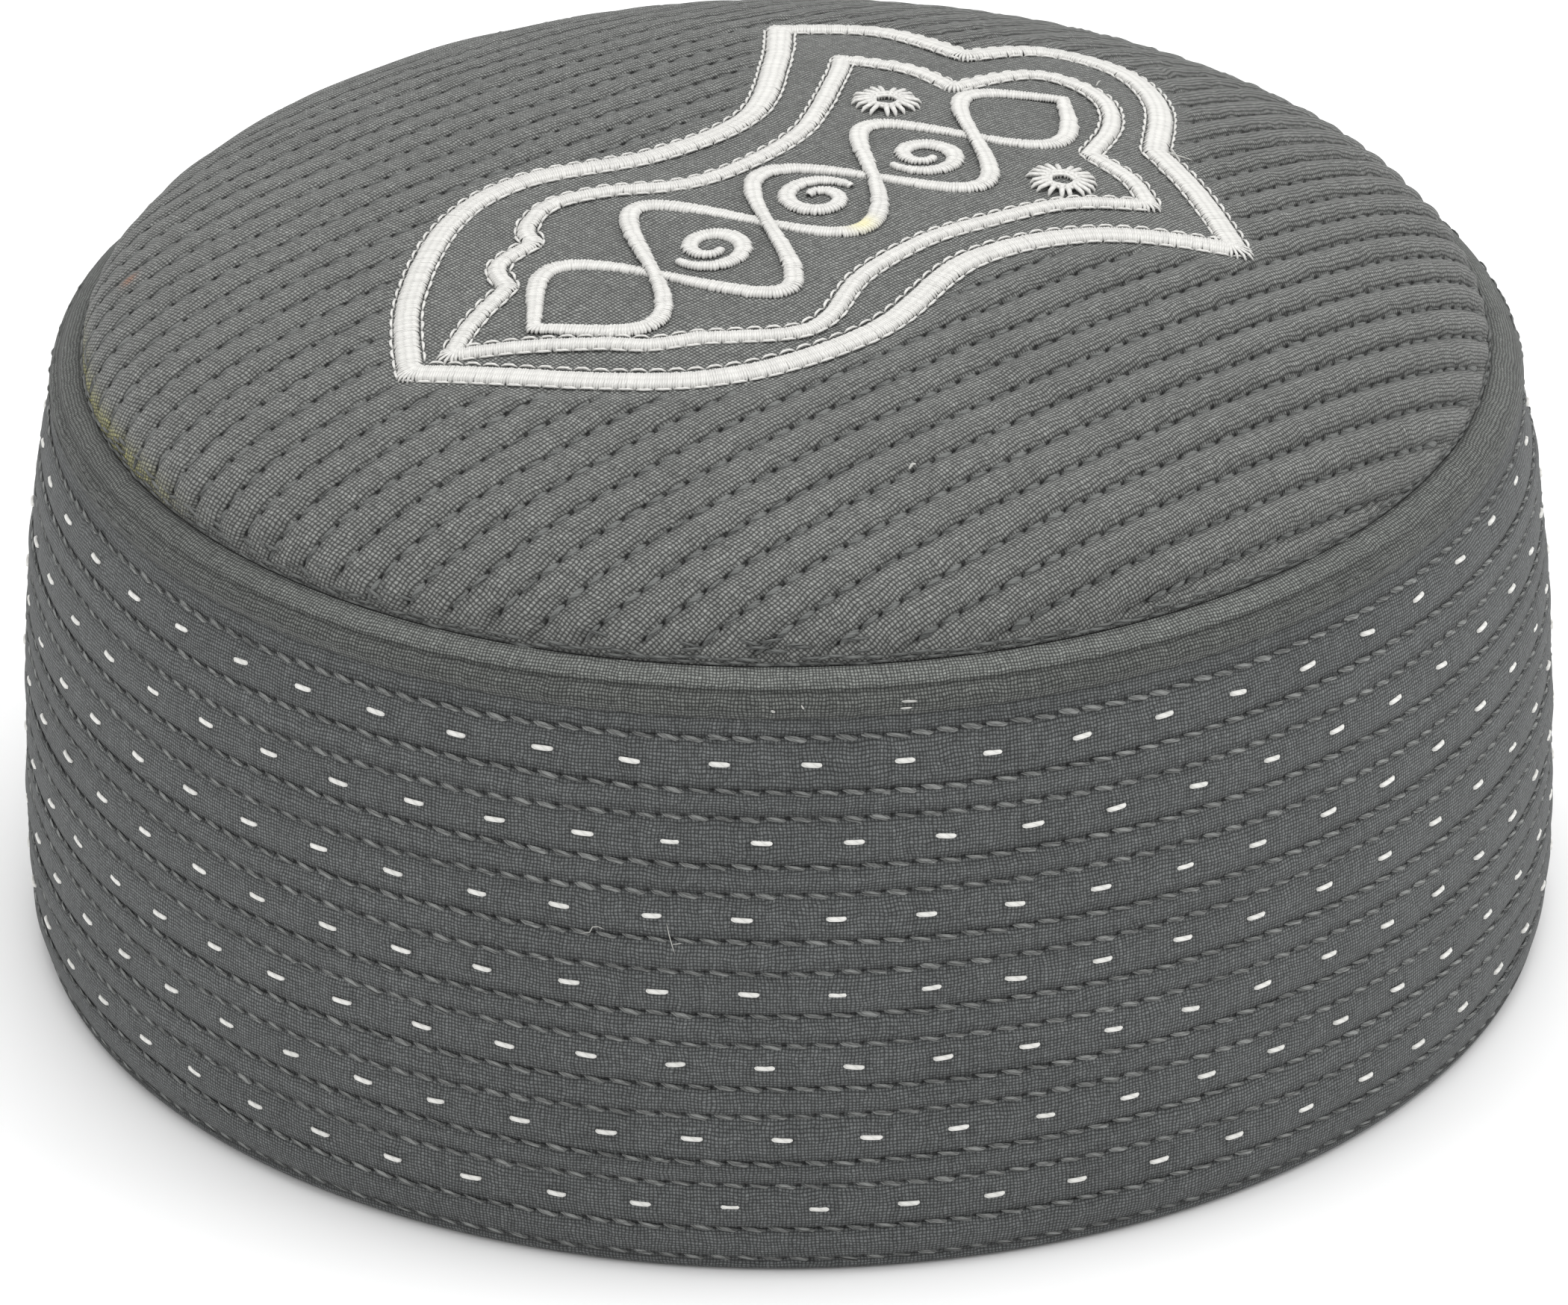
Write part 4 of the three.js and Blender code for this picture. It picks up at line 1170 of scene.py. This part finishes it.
def twist_piece():
    share = np.linspace(0, 1, 400, endpoint=False)
    there, back = twist_place(share, 1), twist_place(1 - share, -1)
    line = np.concatenate([there, back])
    up = np.concatenate([share, 1 - share])
    side = np.repeat([1, -1], len(share))
    turn = up * TWIST_EYES
    near_end = np.minimum(1, np.minimum(2 * turn, 2 * (TWIST_EYES - turn)))
    over = 0.55 * (0.5 + 0.5 * side * near_end * np.cos(turn * math.pi))
    lengths = np.concatenate([[0], np.cumsum(np.linalg.norm(np.diff(line, axis=0), axis=1))])
    steps = np.linspace(0, lengths[-1], TWIST_STEPS)
    over = np.interp(steps, lengths, over) - 0.15
    swell = 0.8 + 0.5 * np.abs(np.sin(np.interp(steps, lengths, turn) * math.pi))
    part = satin_threads(line, TWIST_WIDTH, ORNAMENT_RISE, ORNAMENT_PITCH, True, 61, over, swell)
    off = np.linalg.norm(part[0][:, :2] - YELLOW_PLACE, axis=1)
    marks = {"mark": 0.7 * np.exp(-((off / 1.6) ** 2))}
    thread_piece("emblem_twist_satin", part, white_thread, ["emblem_twist"], marks)


twist_piece()


def volute_piece(eye):
    up = (eye + 0.5) / TWIST_EYES
    half_length = (TWIST_END - TWIST_START) / (2 * TWIST_EYES)
    radius = VOLUTE_SHARE * min(half_length, float(smooth_share(TWIST_REACH, up))) * EMBLEM_LENGTH
    centre = emblem_place(TWIST_START + (TWIST_END - TWIST_START) * up, smooth_share(TWIST_ACROSS, up))
    share = np.linspace(0, 1, 120)
    around = EMBLEM_ANGLE + math.pi * (eye + 2 * VOLUTE_TURNS * share)
    spoke = radius * (1 - VOLUTE_TIGHTEN * share)
    line = centre + np.stack([spoke * np.cos(around), spoke * np.sin(around)], -1)
    swell = 0.3 + 0.9 * np.sin(math.pi * np.linspace(0.03, 0.97, 60)) ** 0.6
    part = satin_threads(line, TWIST_WIDTH, ORNAMENT_RISE, ORNAMENT_PITCH, False, 70 + eye, swell=swell)
    node = f"emblem_volute_{eye}"
    thread_piece(node + "_satin", part, white_thread, [node])


for eye in range(1, TWIST_EYES - 1):
    volute_piece(eye)


ROSETTE_STITCHES = 19
EYELET_RINGS = [(0.3, 0.55), (0.75, 0.7), (1.2, 0.62)]  # how far outside the hole, and how high


def rosette_piece(name, along, across, seed):
    """Radial stitches round an eyelet, and the small ring of thread that edges it."""
    jitter = np.random.default_rng(seed)
    centre = emblem_place(along, across)
    count = ROSETTE_STITCHES
    around = (np.arange(count) + jitter.normal(0, 0.08, count)) / count * 2 * math.pi
    outer = ROSETTE_RADIUS * jitter.normal(1, 0.05, count)
    shares = np.array([0, 0.06, 0.3, 0.6, 0.85, 0.96, 1])
    r = ROSETTE_HOLE + (outer[:, None] - ROSETTE_HOLE) * shares
    swing = around[:, None] + jitter.normal(0, 0.03, (count, 1)) * shares
    u, v = centre[0] + r * np.cos(swing), centre[1] + r * np.sin(swing)
    rise = np.interp(shares, [0, 0.06, 0.3, 0.85, 0.96, 1], [-0.2, 0.4, 0.72, 0.5, 0.15, -0.3])
    lines, normals = on_dome(u, v, -FIELD_SINK + rise)
    widths = np.tile(0.62 * np.array([0, 0.7, 1, 1.15, 1, 0.6, 0]), (count, 1))
    heights = np.tile(0.5 * np.array([0, 0.7, 1, 1, 0.9, 0.6, 0]), (count, 1))
    parts = [tubes(lines, normals, widths, heights, sides=6, seed=seed)]
    turn = np.linspace(0, 2 * math.pi, 30)
    for outside, lift in EYELET_RINGS:
        radius = ROSETTE_HOLE + outside
        wobble = radius * (1 + 0.05 * np.sin(5 * turn + radius))
        ring_u, ring_v = centre[0] + wobble * np.cos(turn), centre[1] + wobble * np.sin(turn)
        ring, ring_normals = on_dome(ring_u, ring_v, np.full(len(turn), -FIELD_SINK + lift - 0.1))
        size = np.full((1, len(turn)), 0.55)
        parts.append(tubes(ring[None], ring_normals[None], size, size * 0.8, sides=6, seed=seed + 1))
    thread_piece(name + "_thread", join(parts), white_thread, [name])


for seed, (name, along, across) in enumerate(ROSETTES):
    rosette_piece(name, along, across, 80 + 3 * seed)


# Lint and loose ends of thread: on the crown by (u, v), and on the wall by degrees from the front and height
CROWN_LINT = [
    (0.36, [(13.9, -63.3), (14.3, -62.6), (14.8, -62.3)]),
    (0.2, [(45.2, 12.3), (47, 11), (49.2, 10.4)]),
    (0.2, [(46.4, 12.9), (46.9, 11.4), (47.3, 9.9)]),
    (0.2, [(38.8, 34.1), (38.4, 32.8), (38.1, 31.6)]),
]
WALL_LINT = [
    (0.13, [(-15.1, 43.3), (-14.3, 43.7), (-14.1, 44.4), (-13.7, 44.5), (-13.2, 44.2)]),
    (0.12, [(-8.8, 45.7), (-8.6, 44.3), (-8.4, 43.1), (-8.2, 41.9)]),
    (0.12, [(-8.4, 43.1), (-7.7, 43.3)]),
    (0.3, [(-1.3, 71.2), (-1, 71)]),
    (0.22, [(0.9, 71.8), (1.1, 71.3)]),
    (0.32, [(8.2, 71.7), (9.4, 71.6)]),
    (0.26, [(8.1, 70.9), (9, 70.9)]),
]


def lint():
    shares = np.linspace(0, 1, 9)
    parts = []
    for i, (thick, places) in enumerate(CROWN_LINT + WALL_LINT):
        a, b = [np.interp(shares, np.linspace(0, 1, len(places)), column) for column in zip(*places)]
        if i < len(CROWN_LINT):
            line, normals = on_dome(a, b, 0.2 + 0.15 * np.sin(math.pi * shares))
        else:
            lift = (0.95 if b[0] > BAND_HEIGHT else 0.15) + 0.1 * np.sin(math.pi * shares)
            line, normals = wall_lines(np.radians(a), b, lift)
        widths = thick * np.sin(math.pi * shares)[None] ** 0.3
        parts.append(tubes(line[None], normals[None], widths, 0.8 * widths, sides=5, seed=200 + i))
    return join(parts)


thread_piece("lint", lint(), lint_thread)


# Floor, light and camera

def floor():
    bpy.ops.mesh.primitive_plane_add(size=12)
    plane = bpy.context.active_object
    plane.name = "floor"
    m = Nodes("studio_floor")
    m.shader.inputs["Base Color"].default_value = (0.93, 0.93, 0.93, 1)
    m.shader.inputs["Roughness"].default_value = 0.9
    m.shader.inputs["Specular IOR Level"].default_value = 0.0
    plane.data.materials.append(m.material)


floor()


def area_light(name, place, towards, size, power):
    data = bpy.data.lights.new(name, "AREA")
    data.shape = "RECTANGLE"
    data.size, data.size_y = size
    data.energy = power
    lamp = bpy.data.objects.new(name, data)
    lamp.location = place
    lamp.rotation_mode = "QUATERNION"
    lamp.rotation_quaternion = (Vector(towards) - Vector(place)).to_track_quat("-Z", "Y")
    bpy.context.scene.collection.objects.link(lamp)


area_light("top_light", (0.1, 0.1, 1.5), (0, 0, 0.05), (1.6, 1.4), 24)
area_light("front_light", (0, -1.5, 0.45), (0, 0, 0.04), (1.4, 0.7), 3)
area_light("left_light", (-1.3, -0.5, 0.7), (0, 0, 0.05), (0.9, 0.9), 5)
area_light("right_light", (1.3, -0.2, 0.7), (0, 0, 0.05), (0.9, 0.9), 6)

world = bpy.data.worlds.new("studio")
world.use_nodes = True
world.node_tree.nodes["Background"].inputs["Color"].default_value = (1, 1, 1, 1)
world.node_tree.nodes["Background"].inputs["Strength"].default_value = 0.45
bpy.context.scene.world = world
bpy.context.scene.view_settings.view_transform = "Standard"

# The camera, fitted to the photograph: its frame and its focal length in pixels, the rest in mm and radians
FRAME_WIDTH = 2100
FRAME_MIDDLE = (1050, 874)
AXIS = (1055.25, 791.14)  # where its axis met the frame
FOCAL = 13281.67
SENSOR = 36
DISTANCE = 1200.5
ELEVATION = 0.486
ROLL = -0.009
TARGET_HEIGHT = 40
AXIS_OFFSET = (FRAME_MIDDLE[0] - AXIS[0], FRAME_MIDDLE[1] - AXIS[1])


def camera():
    """The photograph's camera, turned so that its axis runs through the middle of the frame."""
    back = Vector((0, -math.cos(ELEVATION), math.sin(ELEVATION)))
    place = Vector((0, 0, TARGET_HEIGHT)) + DISTANCE * back
    right, ahead = Vector((1, 0, 0)), -back
    up = right.cross(ahead)
    right, up = math.cos(ROLL) * right + math.sin(ROLL) * up, -math.sin(ROLL) * right + math.cos(ROLL) * up
    ahead = (ahead + right * AXIS_OFFSET[0] / FOCAL - up * AXIS_OFFSET[1] / FOCAL).normalized()
    right = (right - right.dot(ahead) * ahead).normalized()
    up = right.cross(ahead)
    data = bpy.data.cameras.new("camera")
    data.sensor_width = SENSOR
    data.lens = FOCAL / FRAME_WIDTH * SENSOR
    data.clip_start, data.clip_end = 0.05, 50
    eye = bpy.data.objects.new("camera", data)
    eye.matrix_world = Matrix.Translation(place * MM) @ Matrix((right, up, -ahead)).transposed().to_4x4()
    bpy.context.scene.collection.objects.link(eye)
    bpy.context.scene.camera = eye


camera()
